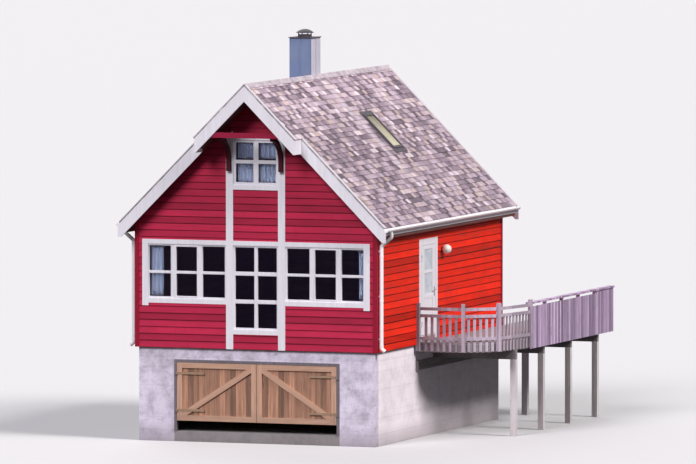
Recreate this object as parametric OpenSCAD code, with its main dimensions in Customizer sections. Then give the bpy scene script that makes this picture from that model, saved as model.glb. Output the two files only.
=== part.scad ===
// Boathouse: a red timber storey with a slate roof on a concrete boat store,
// with two boat doors in the gable end and a timber deck along the right side.
// The front faces -Y, the deck side is +X, and Z = 0 is the lowest ground.
// The origin is the middle of the house at ground level.

/* [House] */
// Width of the timber storey over its corner boards
house_w = 5500; // [5300:10:6500]
// Length of the timber storey over its corner boards
house_l = 8000; // [7600:10:10000]
// Height of the outer wall face from the concrete to the eaves
wall_rise = 2655; // [2500:5:3200]
// Thickness of the timber walls behind their corner boards
wall_t = 178; // [120:1:240]
// Thickness of corner boards and trim boards
board_t = 22; // [16:1:35]
// Width of a corner board
corner_w = 100; // [70:1:150]

/* [Concrete base] */
// Height of the concrete base above the lowest ground
base_h = 2000; // [1900:10:2600]
// How far the base stands in from the corner boards
base_inset = 70; // [30:1:100]
// Thickness of the concrete walls
base_t = 200; // [150:5:260]
// Thickness of the boat store floor
slab_t = 220; // [120:5:260]

/* [Boat doors] */
// Width of the opening in the concrete
boat_open_w = 3750; // [2800:10:4000]
// Height of the concrete beam over the opening
lintel_h = 250; // [180:5:400]
// Width of the timber door frame
boat_frame_w = 60; // [40:1:100]
// Depth of the timber door frame
boat_frame_d = 100; // [80:1:150]
// How far the door faces stand out from the concrete
boat_face_out = 15; // [0:1:40]
// Height of a door leaf
boat_leaf_h = 1240; // [900:10:1300]
// Thickness of the rails and stiles of a leaf
boat_rail_t = 35; // [25:1:50]
// Width of the rails and stiles of a leaf
boat_rail_w = 115; // [80:1:150]
// Thickness of the boards of a leaf
boat_board_t = 22; // [16:1:30]
// Width of a board of a leaf
boat_board_w = 118; // [90:1:160]
// Width and depth of the groove between two boards
board_groove = 6; // [3:1:10]

/* [Hinges] */
// Radius of a boat door hinge pin
pin_r = 8; // [6:0.5:12]
// Length of a boat door strap
strap_l = 620; // [300:10:900]
// Height of a boat door strap
strap_h = 50; // [30:1:70]
// Radius of an entrance door hinge pin
small_pin_r = 5; // [4:0.5:8]
// Length of an entrance door hinge plate
small_strap_l = 90; // [60:1:150]
// Play between a pin and its eye
pin_play = 0.3; // [0.2:0.05:0.6]
// Gap around a door leaf
leaf_gap = 6; // [5:0.5:10]
// Gap beside a leaf's free edge, which swings out on a wider circle
free_gap = 9; // [8:0.5:14]

/* [Upper floor] */
// Depth of the floor joists that rest on the concrete
floor_joist_h = 120; // [90:5:200]
// Thickness of the floor boards
floor_board_t = 30; // [20:1:40]
// Spacing of the floor joists
floor_joist_gap = 600; // [400:10:800]
// Width of a floor joist
floor_joist_w = 60; // [45:1:90]

/* [Front windows] */
// Distance from the house corner to the end of the window band's trims
band_edge = 170; // [110:5:450]
// Underside of the window band trims above the concrete
band_low = 950; // [800:5:1150]
// Top of the window band trims above the concrete
band_high = 2310; // [2050:5:2350]
// Height of a level window trim
trim_h = 100; // [70:1:130]
// Width of an upright trim at the end of the band
end_trim_w = 140; // [80:1:180]
// How far the end trims run on below the band
band_horn = 60; // [0:5:100]
// Half width between the two tall upright boards
mullion_in = 510; // [420:5:600]
// Width of a tall upright board
mullion_w = 160; // [100:1:200]
// Underside of the middle window trim above the concrete
middle_low = 320; // [200:5:500]
// Underside of the gable window trim above the concrete
gable_low = 3400; // [3000:5:3500]
// Top of the gable window trim above the concrete
gable_high = 4560; // [4300:5:4700]
// Depth of a window frame
window_d = 90; // [70:1:120]
// Visible width of a window frame beside its trim
window_frame_w = 25; // [15:1:50]
// Width between two lights of the band
light_post_w = 85; // [60:1:130]
// Width of the light next to the middle of the band
inner_light_w = 530; // [400:5:560]
// Width of the opening light of the band
middle_light_w = 530; // [400:5:560]
// Width of the meeting stiles of the middle window
meeting_w = 50; // [40:1:120]
// Thickness of a sheet of glass
glass_t = 20; // [6:1:26]

/* [Side door] */
// Distance from the house front to the wall opening
door_off = 2720; // [2700:10:3200]
// Width of the wall opening
door_open_w = 970; // [880:5:1100]
// Height of the wall opening above the concrete
door_open_h = 2150; // [2000:5:2300]
// Thickness of the jambs
jamb_t = 45; // [30:1:60]
// Width of the white trim around the door
door_trim_w = 140; // [80:1:180]
// Thickness of the door leaf
door_t = 45; // [38:1:60]
// Width of the stiles of the leaf
door_stile = 170; // [120:1:220]
// Height of the bottom panel of the leaf
door_panel_h = 690; // [500:5:800]
// Height of the threshold board
threshold_t = 30; // [20:1:45]
// Distance from the house front to the wall lamp
lamp_off = 4070; // [3950:10:4600]
// Height of the wall lamp above the concrete
lamp_rise = 1960; // [1700:10:2200]
// Radius of the lamp globe
lamp_r = 100; // [60:1:130]

/* [Roof] */
// Thickness of the roof, square to its slope
roof_t = 180; // [140:1:240]
// Overhang of the roof past the side walls
eave_out = 200; // [120:5:350]
// Overhang of the roof in front of the house
verge_front = 270; // [150:5:400]
// Overhang of the roof behind the house
verge_back = 250; // [150:5:400]
// Overhang of the gable hood in front of the house
hood_out = 686; // [500:2:800]
// Half width of the gable hood
hood_half = 1110; // [900:5:1300]
// Depth of a bargeboard, square to the slope
barge_d = 230; // [150:1:260]
// Thickness of bargeboards and fascias
barge_t = 25; // [18:1:40]
// Height of the eave fascia
fascia_h = 170; // [120:1:200]
// Half width of the ridge cap along the slope
ridge_half = 150; // [100:1:220]
// Thickness of the ridge cap
ridge_t = 12; // [6:1:25]
// Height of the hood's tie beam and arms
tie_h = 110; // [80:1:140]
// Width of the hood's arms and braces
brace_w = 90; // [60:1:110]
// Depth of a curved brace
brace_d = 80; // [50:1:110]
// Radius of the gutters
gutter_r = 58; // [45:1:75]
// Thickness of the gutter metal
gutter_t = 4; // [2:0.5:6]
// Radius of the downpipes
pipe_r = 40; // [30:1:50]
// Distance from the house front to a downpipe
pipe_off = 100; // [90:1:200]
// Space between a downpipe and the corner board
pipe_stand = 22; // [10:1:40]
// Radius of the bends of a downpipe
bend_r = 62; // [55:1:90]

/* [Chimney and skylight] */
// Width of the chimney
chimney_w = 500; // [400:5:600]
// Length of the chimney along the ridge
chimney_l = 500; // [400:5:700]
// Distance from the ridge line to the chimney
chimney_in = 120; // [110:1:300]
// Distance from the house front to the chimney
chimney_off = 3750; // [3400:10:4100]
// Height of the chimney above the ridge
chimney_rise = 820; // [500:10:1200]
// Radius of the flue above the chimney
flue_r = 150; // [80:1:180]
// Distance from the house front to the skylight
skylight_off = 4250; // [4100:10:5500]
// Width of the skylight along the eaves
skylight_w = 600; // [500:5:800]
// Length of the skylight down the slope
skylight_l = 1010; // [800:5:1200]
// Distance down the slope from the ridge to the skylight
skylight_down = 1200; // [900:10:1500]
// Width of the skylight frame
skylight_frame = 60; // [40:1:90]
// How far the skylight stands out of the slates
skylight_up = 45; // [25:1:80]

/* [Deck] */
// Distance from the house front to the deck's front rail
deck_off = 2500; // [2300:10:2600]
// Length of the rail bay beside the house
front_bay = 1022; // [800:2:1300]
// Length of the slanting rail bay
slant_bay = 810; // [600:2:1000]
// Turn of the slanting bay from the front
slant_turn = 40; // [30:1:50]
// Length of the side rail bay
side_bay = 1340; // [1100:2:1500]
// Turn of the side bay from the front
side_turn = 79; // [70:1:85]
// Length of the boarded screen
screen_l = 4450; // [4000:10:4800]
// Length of the taller end of the screen
screen_end_l = 1150; // [900:10:1400]
// Height of the deck above the concrete
deck_rise = 50; // [30:1:90]
// Thickness of the deck boards
deck_board_t = 30; // [22:1:40]
// Depth of the deck joists
deck_joist_h = 170; // [140:1:220]
// Width of deck joists and rim boards
deck_joist_w = 48; // [36:1:60]
// Spacing of the deck joists
deck_joist_gap = 400; // [300:5:500]
// Depth of the cross beams under the joists
deck_beam_h = 200; // [150:5:250]
// Width of a cross beam
deck_beam_w = 100; // [80:1:130]
// Distance from the house front to the first cross beam
deck_beam_off = 3750; // [3650:10:3850]
// Spacing of the cross beams
deck_beam_gap = 1800; // [1700:10:1850]
// Width of a supporting post
deck_post_w = 125; // [90:1:160]
// Distance of the supporting posts from the rail line
deck_post_in = 170; // [120:5:300]

/* [Railing] */
// Width of a rail post
rail_post_w = 80; // [60:1:100]
// Height of the rail posts above the deck
rail_post_up = 850; // [800:5:1100]
// Depth of posts and balusters below the deck surface
rail_down = 180; // [140:1:220]
// Height of a level rail
rail_h = 65; // [45:1:90]
// Thickness of a level rail
rail_t = 30; // [20:1:40]
// Middle of the upper rail above the deck
upper_rail = 730; // [660:5:900]
// Middle of the second rail above the deck
second_rail = 580; // [500:5:640]
// Middle of the low rail above the deck
low_rail = 95; // [70:1:150]
// Width of a baluster
baluster_w = 60; // [40:1:80]
// Thickness of a baluster
baluster_t = 20; // [15:1:30]
// Spacing of the balusters
baluster_gap = 137; // [110:1:150]
// Height of the screen boards above the deck
screen_up = 685; // [600:5:780]
// Underside of the handrail above the deck
handrail_up = 745; // [720:5:900]
// Thickness of the handrail
handrail_t = 40; // [25:1:50]
// Width of the handrail
handrail_w = 120; // [90:1:150]
// Thickness of the screen boards
screen_t = 22; // [18:1:35]

/* [Hidden] */
$fn = 32;

// Room to cut cleanly past a face
cut = 10;

// Joint between two timbers of one node that meet without being one piece
joint = 0.3;

// House body
house_half = house_w / 2;
house_front = -house_l / 2;
house_back = house_l / 2;
face_half = house_half - board_t;
face_front = house_front + board_t;
face_back = house_back - board_t;
room_half = face_half - wall_t;
room_front = face_front + wall_t;
room_back = face_back - wall_t;

// Roof planes fall one for one, at 45 degrees
roof_v = roof_t * sqrt(2);
ridge_z = base_h + wall_rise + roof_v + face_half;
under_z = ridge_z - roof_v;
eave_x = house_half + eave_out;
barge_v = barge_d * sqrt(2);
fascia_x = eave_x + barge_t;
gutter_x = fascia_x + gutter_r;
gutter_z = ridge_z - fascia_x - 35;
barge_x = fascia_x + gutter_r;
outlet_r = pipe_r - 8;
outlet_h = 40;

// Concrete base
base_half = house_half - base_inset;
base_front = house_front + base_inset;
base_back = house_back - base_inset;

// Boat doors
boat_face = base_front - boat_face_out;
boat_head_z = base_h - lintel_h;
boat_clear_half = boat_open_w / 2 - boat_frame_w;
boat_leaf_w = boat_clear_half - leaf_gap - free_gap / 2;
boat_leaf_z = boat_head_z - boat_frame_w - leaf_gap - boat_leaf_h;
boat_leaf_t = boat_rail_t + boat_board_t;
strap_low = 200;
strap_high = boat_leaf_h - strap_low - strap_h;

// Hinge proportions that follow from the pins
eye_r = pin_r + 6;
small_eye_r = small_pin_r + 5;
hinge_stand = eye_r + leaf_gap;
small_hinge_stand = small_eye_r + leaf_gap;
strap_t = 6;
small_strap_h = 90;
lug_h = 24;
hinge_rest = 0.3;

// Upper floor
floor_z = base_h + floor_joist_h + floor_board_t;

// Front windows, from the middle of the house outwards
mullion_out = mullion_in + mullion_w;
open_in = mullion_out;
band_half = house_half - band_edge;
open_out = band_half - end_trim_w + 25;
band_sill_z = base_h + band_low + trim_h;
band_head_z = base_h + band_high - trim_h;
middle_sill_z = base_h + middle_low + trim_h;
gable_sill_z = base_h + gable_low + trim_h;
gable_head_z = base_h + gable_high - trim_h;
window_rebate = 38;

// Side door
door_y0 = house_front + door_off;
door_y1 = door_y0 + door_open_w;
door_head_z = base_h + door_open_h;
door_leaf_w = door_open_w - 2 * jamb_t - leaf_gap - free_gap;
door_leaf_z = floor_z + threshold_t + leaf_gap;
door_leaf_h = door_head_z - jamb_t - leaf_gap - door_leaf_z;
door_face_x = house_half;
door_glass_t = 14;
door_stop = 18;

// Hood
hood_front = house_front - hood_out;
tie_rise = 260;
tie_z = under_z - hood_half + tie_rise;
arm_x = mullion_in + mullion_w / 2;
knee_sink = 15;
knee_foot = 180;

// Deck, with its rail line from the house wall outwards and back
rail_start = [face_half + rail_post_w / 2, house_front + deck_off];
rail_1 = rail_start + [front_bay, 0];
rail_2 = rail_1 + slant_bay * [cos(slant_turn), sin(slant_turn)];
rail_3 = rail_2 + side_bay * [cos(side_turn), sin(side_turn)];
rail_4 = rail_3 + [0, screen_l];
rail_5 = rail_4 + [0, screen_end_l];
rail_line = [rail_start, rail_1, rail_2, rail_3, rail_4, rail_5];
deck_z = base_h + deck_rise;
deck_frame_z = deck_z - deck_board_t;
deck_beam_top = deck_frame_z - deck_joist_h;
deck_beam_z = deck_beam_top - deck_beam_h;
deck_wall_x = house_half + 8;
deck_frame_x = deck_wall_x + 20;
deck_post_x = rail_3[0] - deck_post_in;
beam_rows = 4;
ledger_t = 50;
ledger_h = 200;

// Returns the height of the slates over a distance from the middle
function roof_top(x) = ridge_z - abs(x);

// Returns a direction of length one
function unit(v) = v / norm(v);

// Returns the direction square to the left of a line
function left_of(a, b) = [-unit(b - a)[1], unit(b - a)[0]];

// Returns a corner of a line moved inwards by a distance
function inset_corner(a, p, b, d) =
  p + (left_of(a, p) + left_of(p, b)) * d / (1 + left_of(a, p) * left_of(p, b));

// Returns the rail line moved inwards by a distance
function deck_edge(d) = concat(
  [rail_line[0] + [0, d]],
  [for (i = [1:len(rail_line) - 2]) inset_corner(rail_line[i - 1], rail_line[i], rail_line[i + 1], d)],
  [rail_line[len(rail_line) - 1] + [-d, 0]]
);

// Draws a box from its low corner to its high corner
module block(low, high) {
  translate(low) cube(high - low);
}

// Draws its children on the right and mirrored on the left
module both_sides() {
  children();
  mirror([1, 0, 0]) children();
}

// Draws an outline of x and z from one y to another
module along_y(y0, y1) {
  translate([0, y1, 0]) rotate([90, 0, 0]) linear_extrude(height = y1 - y0) children();
}

// Draws an outline of y and z from one x to another
module along_x(x0, x1) {
  translate([x0, 0, 0]) rotate([90, 0, 90]) linear_extrude(height = x1 - x0) children();
}

// Draws a frame of x and z with an opening
module flat_frame(low, high, member, y0, y1) {
  difference() {
    block([low[0], y0, low[1]], [high[0], y1, high[1]]);
    block([low[0] + member, y0 - cut, low[1] + member], [high[0] - member, y1 + cut, high[1] - member]);
  }
}

// Draws the wall outline under the roof
module gable_outline(half) {
  polygon([[-half, base_h], [half, base_h], [half, under_z - half], [0, under_z], [-half, under_z - half]]);
}

module base_front_piers() {
  color("lightgray") both_sides()
    block([boat_open_w / 2, base_front, 0], [base_half, base_front + base_t, boat_head_z]);
}

module base_lintel() {
  color("lightgray")
    block([-base_half, base_front, boat_head_z], [base_half, base_front + base_t, base_h]);
}

module base_sides() {
  color("lightgray") both_sides()
    block([base_half - base_t, base_front + base_t, 0], [base_half, base_back - base_t, base_h]);
}

module base_back() {
  color("lightgray")
    block([-base_half, base_back - base_t, 0], [base_half, base_back, base_h]);
}

// The slab runs out through the doorway as a sill
module boat_floor() {
  color("darkgray") {
    block([-base_half + base_t, base_front + base_t, 0], [base_half - base_t, base_back - base_t, slab_t]);
    block([-boat_open_w / 2, base_front, 0], [boat_open_w / 2, base_front + base_t, slab_t]);
  }
}

// The fixed half of a lift-off hinge, drawn beside a leaf that starts at x = 0
module hinge_pin(radius, eye, stand, height) {
  axis_x = -leaf_gap / 2;
  translate([axis_x, -stand, -hinge_rest]) cylinder(r = radius, h = height + 8);
  block([axis_x - eye - 30, -stand - eye + 3, -hinge_rest - lug_h], [axis_x + radius, -stand + eye - 3, -hinge_rest]);
  block([axis_x - eye - 30, -stand, -hinge_rest - lug_h], [-leaf_gap, 0, -hinge_rest]);
}

// The eye and strap that a leaf carries
module hinge_strap(radius, eye, stand, height, length) {
  axis_x = -leaf_gap / 2;
  difference() {
    union() {
      translate([axis_x, -stand, 0]) cylinder(r = eye, h = height);
      block([0, -stand + radius, 0], [eye + 20, 0, height]);
      block([0, -strap_t, 0], [length, 0, height]);
    }
    translate([axis_x, -stand, -cut]) cylinder(r = radius + pin_play, h = height + 2 * cut);
  }
}

// The place of a boat door leaf's lower hinge corner
module at_left_boat_leaf() {
  translate([-boat_clear_half + leaf_gap, boat_face, boat_leaf_z]) children();
}

module boat_door_frame() {
  color("gray") {
    both_sides()
      block([boat_clear_half, boat_face, slab_t], [boat_open_w / 2, boat_face + boat_frame_d, boat_head_z]);
    block(
      [-boat_clear_half, boat_face, boat_head_z - boat_frame_w],
      [boat_clear_half, boat_face + boat_frame_d, boat_head_z]
    );
    both_sides() at_left_boat_leaf()
      for (z = [strap_low, strap_high])
        translate([0, 0, z]) hinge_pin(pin_r, eye_r, hinge_stand, strap_h);
  }
}

// A framed leaf of upright boards with a brace up to the meeting stile
module boat_leaf() {
  inner_w = boat_leaf_w - 2 * boat_rail_w;
  inner_h = boat_leaf_h - 2 * boat_rail_w;
  rise = atan2(inner_h, inner_w);
  board_count = floor(boat_leaf_w / boat_board_w);
  board_pitch = boat_leaf_w / board_count;
  difference() {
    block([0, boat_rail_t, 0], [boat_leaf_w, boat_leaf_t, boat_leaf_h]);
    for (i = [1:board_count - 1])
      block(
        [i * board_pitch - board_groove / 2, boat_rail_t - cut, -cut],
        [i * board_pitch + board_groove / 2, boat_rail_t + board_groove, boat_leaf_h + cut]
      );
  }
  flat_frame([0, 0], [boat_leaf_w, boat_leaf_h], boat_rail_w, 0, boat_rail_t);
  intersection() {
    translate([boat_rail_w, 0, boat_rail_w]) rotate([0, -rise, 0])
      block([-boat_rail_w, 0, -boat_rail_w / 2], [inner_w + inner_h, boat_rail_t, boat_rail_w / 2]);
    block([boat_rail_w, 0, boat_rail_w], [boat_leaf_w - boat_rail_w, boat_rail_t, boat_leaf_h - boat_rail_w]);
  }
  for (z = [strap_low, strap_high])
    translate([0, 0, z]) hinge_strap(pin_r, eye_r, hinge_stand, strap_h, strap_l);
}

module boat_door_left() {
  color("peru") at_left_boat_leaf() boat_leaf();
}

module boat_door_right() {
  color("peru") mirror([1, 0, 0]) at_left_boat_leaf() boat_leaf();
}

// Joists across the base walls with boards on top
module upper_floor() {
  spans = floor((room_back - room_front - floor_joist_w) / floor_joist_gap);
  pitch = (room_back - room_front - floor_joist_w) / spans;
  color("burlywood") {
    block([-room_half, room_front, floor_z - floor_board_t], [room_half, room_back, floor_z]);
    for (i = [0:spans])
      translate([0, room_front + i * pitch, 0])
        block([-room_half, 0, base_h], [room_half, floor_joist_w, base_h + floor_joist_h - joint]);
  }
}

// The front gable wall with its window openings
module front_wall() {
  color("firebrick") difference() {
    along_y(face_front, room_front) gable_outline(face_half);
    both_sides()
      block([open_in, face_front - cut, band_sill_z], [open_out, room_front + cut, band_head_z]);
    block([-mullion_in, face_front - cut, middle_sill_z], [mullion_in, room_front + cut, band_head_z]);
    block([-mullion_in, face_front - cut, gable_sill_z], [mullion_in, room_front + cut, gable_head_z]);
  }
}

module back_wall() {
  color("firebrick") along_y(room_back, face_back) gable_outline(face_half);
}

// The outline of a side wall, bevelled under the roof
module side_wall_outline(low) {
  polygon([[room_half, low], [face_half, low], [face_half, under_z - face_half], [room_half, under_z - room_half]]);
}

module left_wall() {
  color("firebrick") mirror([1, 0, 0]) along_y(room_front, room_back) side_wall_outline(base_h);
}

// The right wall in front of and behind the side door
module right_wall() {
  color("orangered") {
    along_y(room_front, door_y0) side_wall_outline(base_h);
    along_y(door_y1, room_back) side_wall_outline(base_h);
  }
}

// The right wall over and under the side door
module right_wall_at_door() {
  color("orangered") {
    along_y(door_y0, door_y1) side_wall_outline(door_head_z);
    block([room_half, door_y0, base_h], [face_half, door_y1, floor_z]);
  }
}

// Two boards at each corner, cut off under the roof
module corner_boards() {
  color("firebrick") intersection() {
    along_y(house_front - cut, house_back + cut) gable_outline(house_half);
    both_sides() for (end = [0, 1]) mirror([0, end, 0]) {
      block([house_half - corner_w, house_front, base_h], [house_half, face_front, ridge_z]);
      block([face_half, face_front, base_h], [house_half, house_front + corner_w, ridge_z]);
    }
  }
}

// A trim board on the front face, given by x and z
module front_board(low, high) {
  block([low[0], house_front, base_h + low[1]], [high[0], face_front, base_h + high[1]]);
}

// White boards around the windows, with two tall uprights under the hood
module front_trims() {
  tie_top = tie_z + tie_h - base_h;
  color("white") {
    both_sides() {
      front_board([mullion_in, 0], [mullion_out, tie_top]);
      front_board([mullion_out, band_low], [band_half - end_trim_w, band_low + trim_h]);
      front_board([band_half - end_trim_w, band_low - band_horn], [band_half, band_high - trim_h]);
    }
    front_board([-band_half, band_high - trim_h], [band_half, band_high]);
    front_board([-mullion_in, middle_low], [mullion_in, middle_low + trim_h]);
    front_board([-mullion_in, gable_low], [mullion_in, gable_low + trim_h]);
    front_board([-mullion_in, gable_high - trim_h], [mullion_in, gable_high]);
  }
}

// A window frame that fills its opening, with a rebate for the glass behind its posts
module window_frame(x0, x1, z0, z1, posts) {
  flat_frame([x0, z0], [x1, z1], window_frame_w, face_front, face_front + window_d);
  for (post = posts)
    block(
      [post[0], face_front, z0 + window_frame_w],
      [post[1], face_front + window_rebate, z1 - window_frame_w]
    );
}

// Three lights on each side, the middle one of them an opening light
module band_windows() {
  post_1 = open_in + window_frame_w + inner_light_w;
  post_2 = post_1 + light_post_w + middle_light_w;
  color("white") both_sides()
    window_frame(open_in, open_out, band_sill_z, band_head_z,
      [[post_1, post_1 + light_post_w], [post_2, post_2 + light_post_w]]);
}

module middle_window() {
  color("white")
    window_frame(-mullion_in, mullion_in, middle_sill_z, band_head_z, [[-meeting_w / 2, meeting_w / 2]]);
}

module gable_window() {
  color("white")
    window_frame(-mullion_in, mullion_in, gable_sill_z, gable_head_z, [[-meeting_w / 2, meeting_w / 2]]);
}

// A sheet of glass in a window's rebate
module window_sheet(x0, x1, z0, z1) {
  block(
    [x0 + window_frame_w, face_front + window_rebate, z0 + window_frame_w],
    [x1 - window_frame_w, face_front + window_rebate + glass_t, z1 - window_frame_w]
  );
}

// Places its children in the slope of the right roof: x down the slope, y along the eaves, z out of it
module on_right_slope() {
  translate([0, 0, ridge_z]) rotate([0, 45, 0]) children();
}

// The skylight opening through the roof
module skylight_space(member, low, high) {
  y0 = house_front + skylight_off;
  on_right_slope()
    block([skylight_down + member, y0 + member, low],
      [skylight_down + skylight_l - member, y0 + skylight_w - member, high]);
}

module window_glass() {
  color("lightblue") {
    both_sides() window_sheet(open_in, open_out, band_sill_z, band_head_z);
    window_sheet(-mullion_in, mullion_in, middle_sill_z, band_head_z);
    window_sheet(-mullion_in, mullion_in, gable_sill_z, gable_head_z);
    skylight_space(skylight_frame, 0, glass_t);
  }
}

// The place of the side door's lower hinge corner
module at_side_door() {
  translate([door_face_x, door_y0 + jamb_t + leaf_gap, door_leaf_z]) rotate([0, 0, 90]) children();
}

// Jambs, head, stops and threshold, with the white trim and the hinge pins
module side_door_frame() {
  clear_y0 = door_y0 + jamb_t;
  clear_y1 = door_y1 - jamb_t;
  stop_x = door_face_x - door_t - leaf_gap;
  head_z = door_head_z - jamb_t;
  color("white") {
    block([room_half, door_y0, floor_z], [face_half, clear_y0, door_head_z]);
    block([room_half, clear_y1, floor_z], [face_half, door_y1, door_head_z]);
    block([room_half, clear_y0, head_z], [face_half, clear_y1, door_head_z]);
    block([room_half, clear_y0, floor_z], [face_half, clear_y1, floor_z + threshold_t]);
    block([room_half, clear_y0, floor_z + threshold_t], [stop_x, clear_y0 + door_stop, head_z]);
    block([room_half, clear_y1 - door_stop, floor_z + threshold_t], [stop_x, clear_y1, head_z]);
    block([room_half, clear_y0 + door_stop, head_z - door_stop], [stop_x, clear_y1 - door_stop, head_z]);
    block([face_half, clear_y0 - door_trim_w, base_h], [door_face_x, clear_y0, head_z + door_trim_w]);
    block([face_half, clear_y1, base_h], [door_face_x, clear_y1 + door_trim_w, head_z + door_trim_w]);
    block([face_half, clear_y0, head_z], [door_face_x, clear_y1, head_z + door_trim_w]);
    at_side_door() for (z = [strap_low, door_leaf_h - strap_low - small_strap_h])
      translate([0, 0, z]) hinge_pin(small_pin_r, small_eye_r, small_hinge_stand, small_strap_h);
  }
}

// A leaf with two stacked panes over a sunk panel
module side_door() {
  rail = door_stile;
  glass_z0 = rail + door_panel_h;
  glass_z1 = door_leaf_h - rail / 2;
  sunk = 10;
  color("white") at_side_door() {
    difference() {
      block([0, 0, 0], [door_leaf_w, door_t, door_leaf_h]);
      block([rail, -cut, glass_z0], [door_leaf_w - rail, door_t + cut, glass_z1]);
      block([rail, -cut, rail], [door_leaf_w - rail, sunk, rail + door_panel_h - rail / 2]);
      block([rail, door_t - sunk, rail], [door_leaf_w - rail, door_t + cut, rail + door_panel_h - rail / 2]);
    }
    for (z = [strap_low, door_leaf_h - strap_low - small_strap_h])
      translate([0, 0, z]) hinge_strap(small_pin_r, small_eye_r, small_hinge_stand, small_strap_h, small_strap_l);
  }
}

module side_door_glass() {
  rail = door_stile;
  color("lightblue") at_side_door()
    block(
      [rail, (door_t - door_glass_t) / 2, rail + door_panel_h],
      [door_leaf_w - rail, (door_t + door_glass_t) / 2, door_leaf_h - rail / 2]
    );
}

// A plate and a lever on the outer face
module side_door_handle() {
  handle_z = door_panel_h + door_stile - 60;
  plate_w = 40;
  plate_h = 200;
  color("silver") at_side_door() translate([door_leaf_w - 75, 0, handle_z]) {
    block([-plate_w / 2, -6, 0], [plate_w / 2, 0, plate_h]);
    translate([0, 0, 140]) rotate([90, 0, 0]) cylinder(r = 9, h = 55);
    translate([9, -46, 140]) rotate([0, -90, 0]) cylinder(r = 9, h = 120);
  }
}

// A round globe on a wall plate
module wall_lamp() {
  color("ivory") translate([face_half, house_front + lamp_off, base_h + lamp_rise]) {
    rotate([0, 90, 0]) cylinder(r = lamp_r * 0.6, h = 30);
    rotate([0, 90, 0]) cylinder(r = lamp_r * 0.3, h = 30 + lamp_r / 2);
    translate([30 + lamp_r, 0, 0]) sphere(r = lamp_r);
  }
}

// The outline of a roof slope down to a plumb cut
module slope_outline(half) {
  polygon([[0, ridge_z], [half, roof_top(half)], [half, roof_top(half) - roof_v], [0, under_z]]);
}

// One slope, with the hood at its front
module roof_slope() {
  along_y(house_front - verge_front + barge_t, house_back + verge_back - barge_t) slope_outline(eave_x);
  along_y(hood_front + barge_t, house_front - verge_front + barge_t) slope_outline(hood_half);
}

// The space that the chimney takes in the roof
module chimney_shaft(low, high) {
  block(
    [-chimney_in - chimney_w, house_front + chimney_off, low],
    [-chimney_in, house_front + chimney_off + chimney_l, high]
  );
}

module roof_left() {
  color("slategray") difference() {
    mirror([1, 0, 0]) roof_slope();
    chimney_shaft(base_h, ridge_z + cut);
  }
}

module roof_right() {
  color("slategray") difference() {
    roof_slope();
    skylight_space(0, -roof_t - cut, cut);
  }
}

// A cap folded over the ridge, just clear of both slopes
module ridge_cap() {
  run = ridge_half / sqrt(2);
  low = ridge_z + joint * sqrt(2);
  high = low + ridge_t * sqrt(2);
  color("dimgray") along_y(hood_front + barge_t, house_back + verge_back - barge_t)
    polygon([[0, low], [run, low - run], [run, high - run], [0, high], [-run, high - run], [-run, low - run]]);
}

// The outline of a bargeboard between two distances from the middle
module barge_outline(x0, x1) {
  tip_z = roof_top(x1) - barge_v + 75;
  tip_x = x1 - 75;
  polygon([[x0, roof_top(x0)], [x1, roof_top(x1)], [x1, tip_z], [tip_x, tip_z], [x0, roof_top(x0) - barge_v]]);
}

// The long boards, at the front below the hood and at the back up to the ridge
module bargeboards() {
  back_y = house_back + verge_back;
  color("white") both_sides() {
    along_y(house_front - verge_front, house_front - verge_front + barge_t) barge_outline(hood_half, barge_x);
    along_y(back_y - barge_t, back_y) barge_outline(joint / 2, barge_x);
  }
}

// The hood's front boards and the boards along its lower edges
module hood_bargeboards() {
  color("white") both_sides() {
    along_y(hood_front, hood_front + barge_t)
      polygon([[joint / 2, roof_top(joint / 2)], [hood_half + barge_t, roof_top(hood_half + barge_t)],
        [hood_half + barge_t, roof_top(hood_half) - barge_v], [hood_half, roof_top(hood_half) - barge_v],
        [joint / 2, roof_top(joint / 2) - barge_v]]);
    along_y(hood_front + barge_t + joint, house_front - verge_front)
      polygon([[hood_half, roof_top(hood_half)], [hood_half + barge_t, roof_top(hood_half + barge_t)],
        [hood_half + barge_t, roof_top(hood_half) - barge_v], [hood_half, roof_top(hood_half) - barge_v]]);
  }
}

// A tie beam behind the hood's front boards, two arms back to the wall and a curved brace under each arm
module hood_frame() {
  tie_y0 = hood_front + barge_t;
  tie_y1 = tie_y0 + brace_w;
  tie_low = under_z - tie_z;
  tie_high = under_z - tie_z - tie_h;
  radius = house_front - tie_y1;
  knee_z = tie_z - radius + knee_sink;
  color("brown") {
    along_y(tie_y0, tie_y1)
      polygon([[-tie_low, tie_z], [tie_low, tie_z], [tie_high, tie_z + tie_h], [-tie_high, tie_z + tie_h]]);
    both_sides() {
      block([arm_x - brace_w / 2, tie_y1 + joint, tie_z], [arm_x + brace_w / 2, house_front, tie_z + tie_h]);
      along_x(arm_x - brace_w / 2, arm_x + brace_w / 2) difference() {
        intersection() {
          translate([tie_y1, knee_z]) circle(r = radius, $fn = 96);
          translate([tie_y1 + joint, knee_z]) square(radius);
        }
        translate([tie_y1, knee_z]) circle(r = radius - brace_d, $fn = 96);
      }
      block(
        [arm_x - brace_w / 2, house_front - brace_d, knee_z - knee_foot],
        [arm_x + brace_w / 2, house_front, knee_z]
      );
    }
  }
}

module eave_fascias() {
  color("white") both_sides()
    block(
      [eave_x, house_front - verge_front + barge_t, roof_top(eave_x) - 20 - fascia_h],
      [fascia_x, house_back + verge_back - barge_t, roof_top(eave_x) - 20]
    );
}

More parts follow.
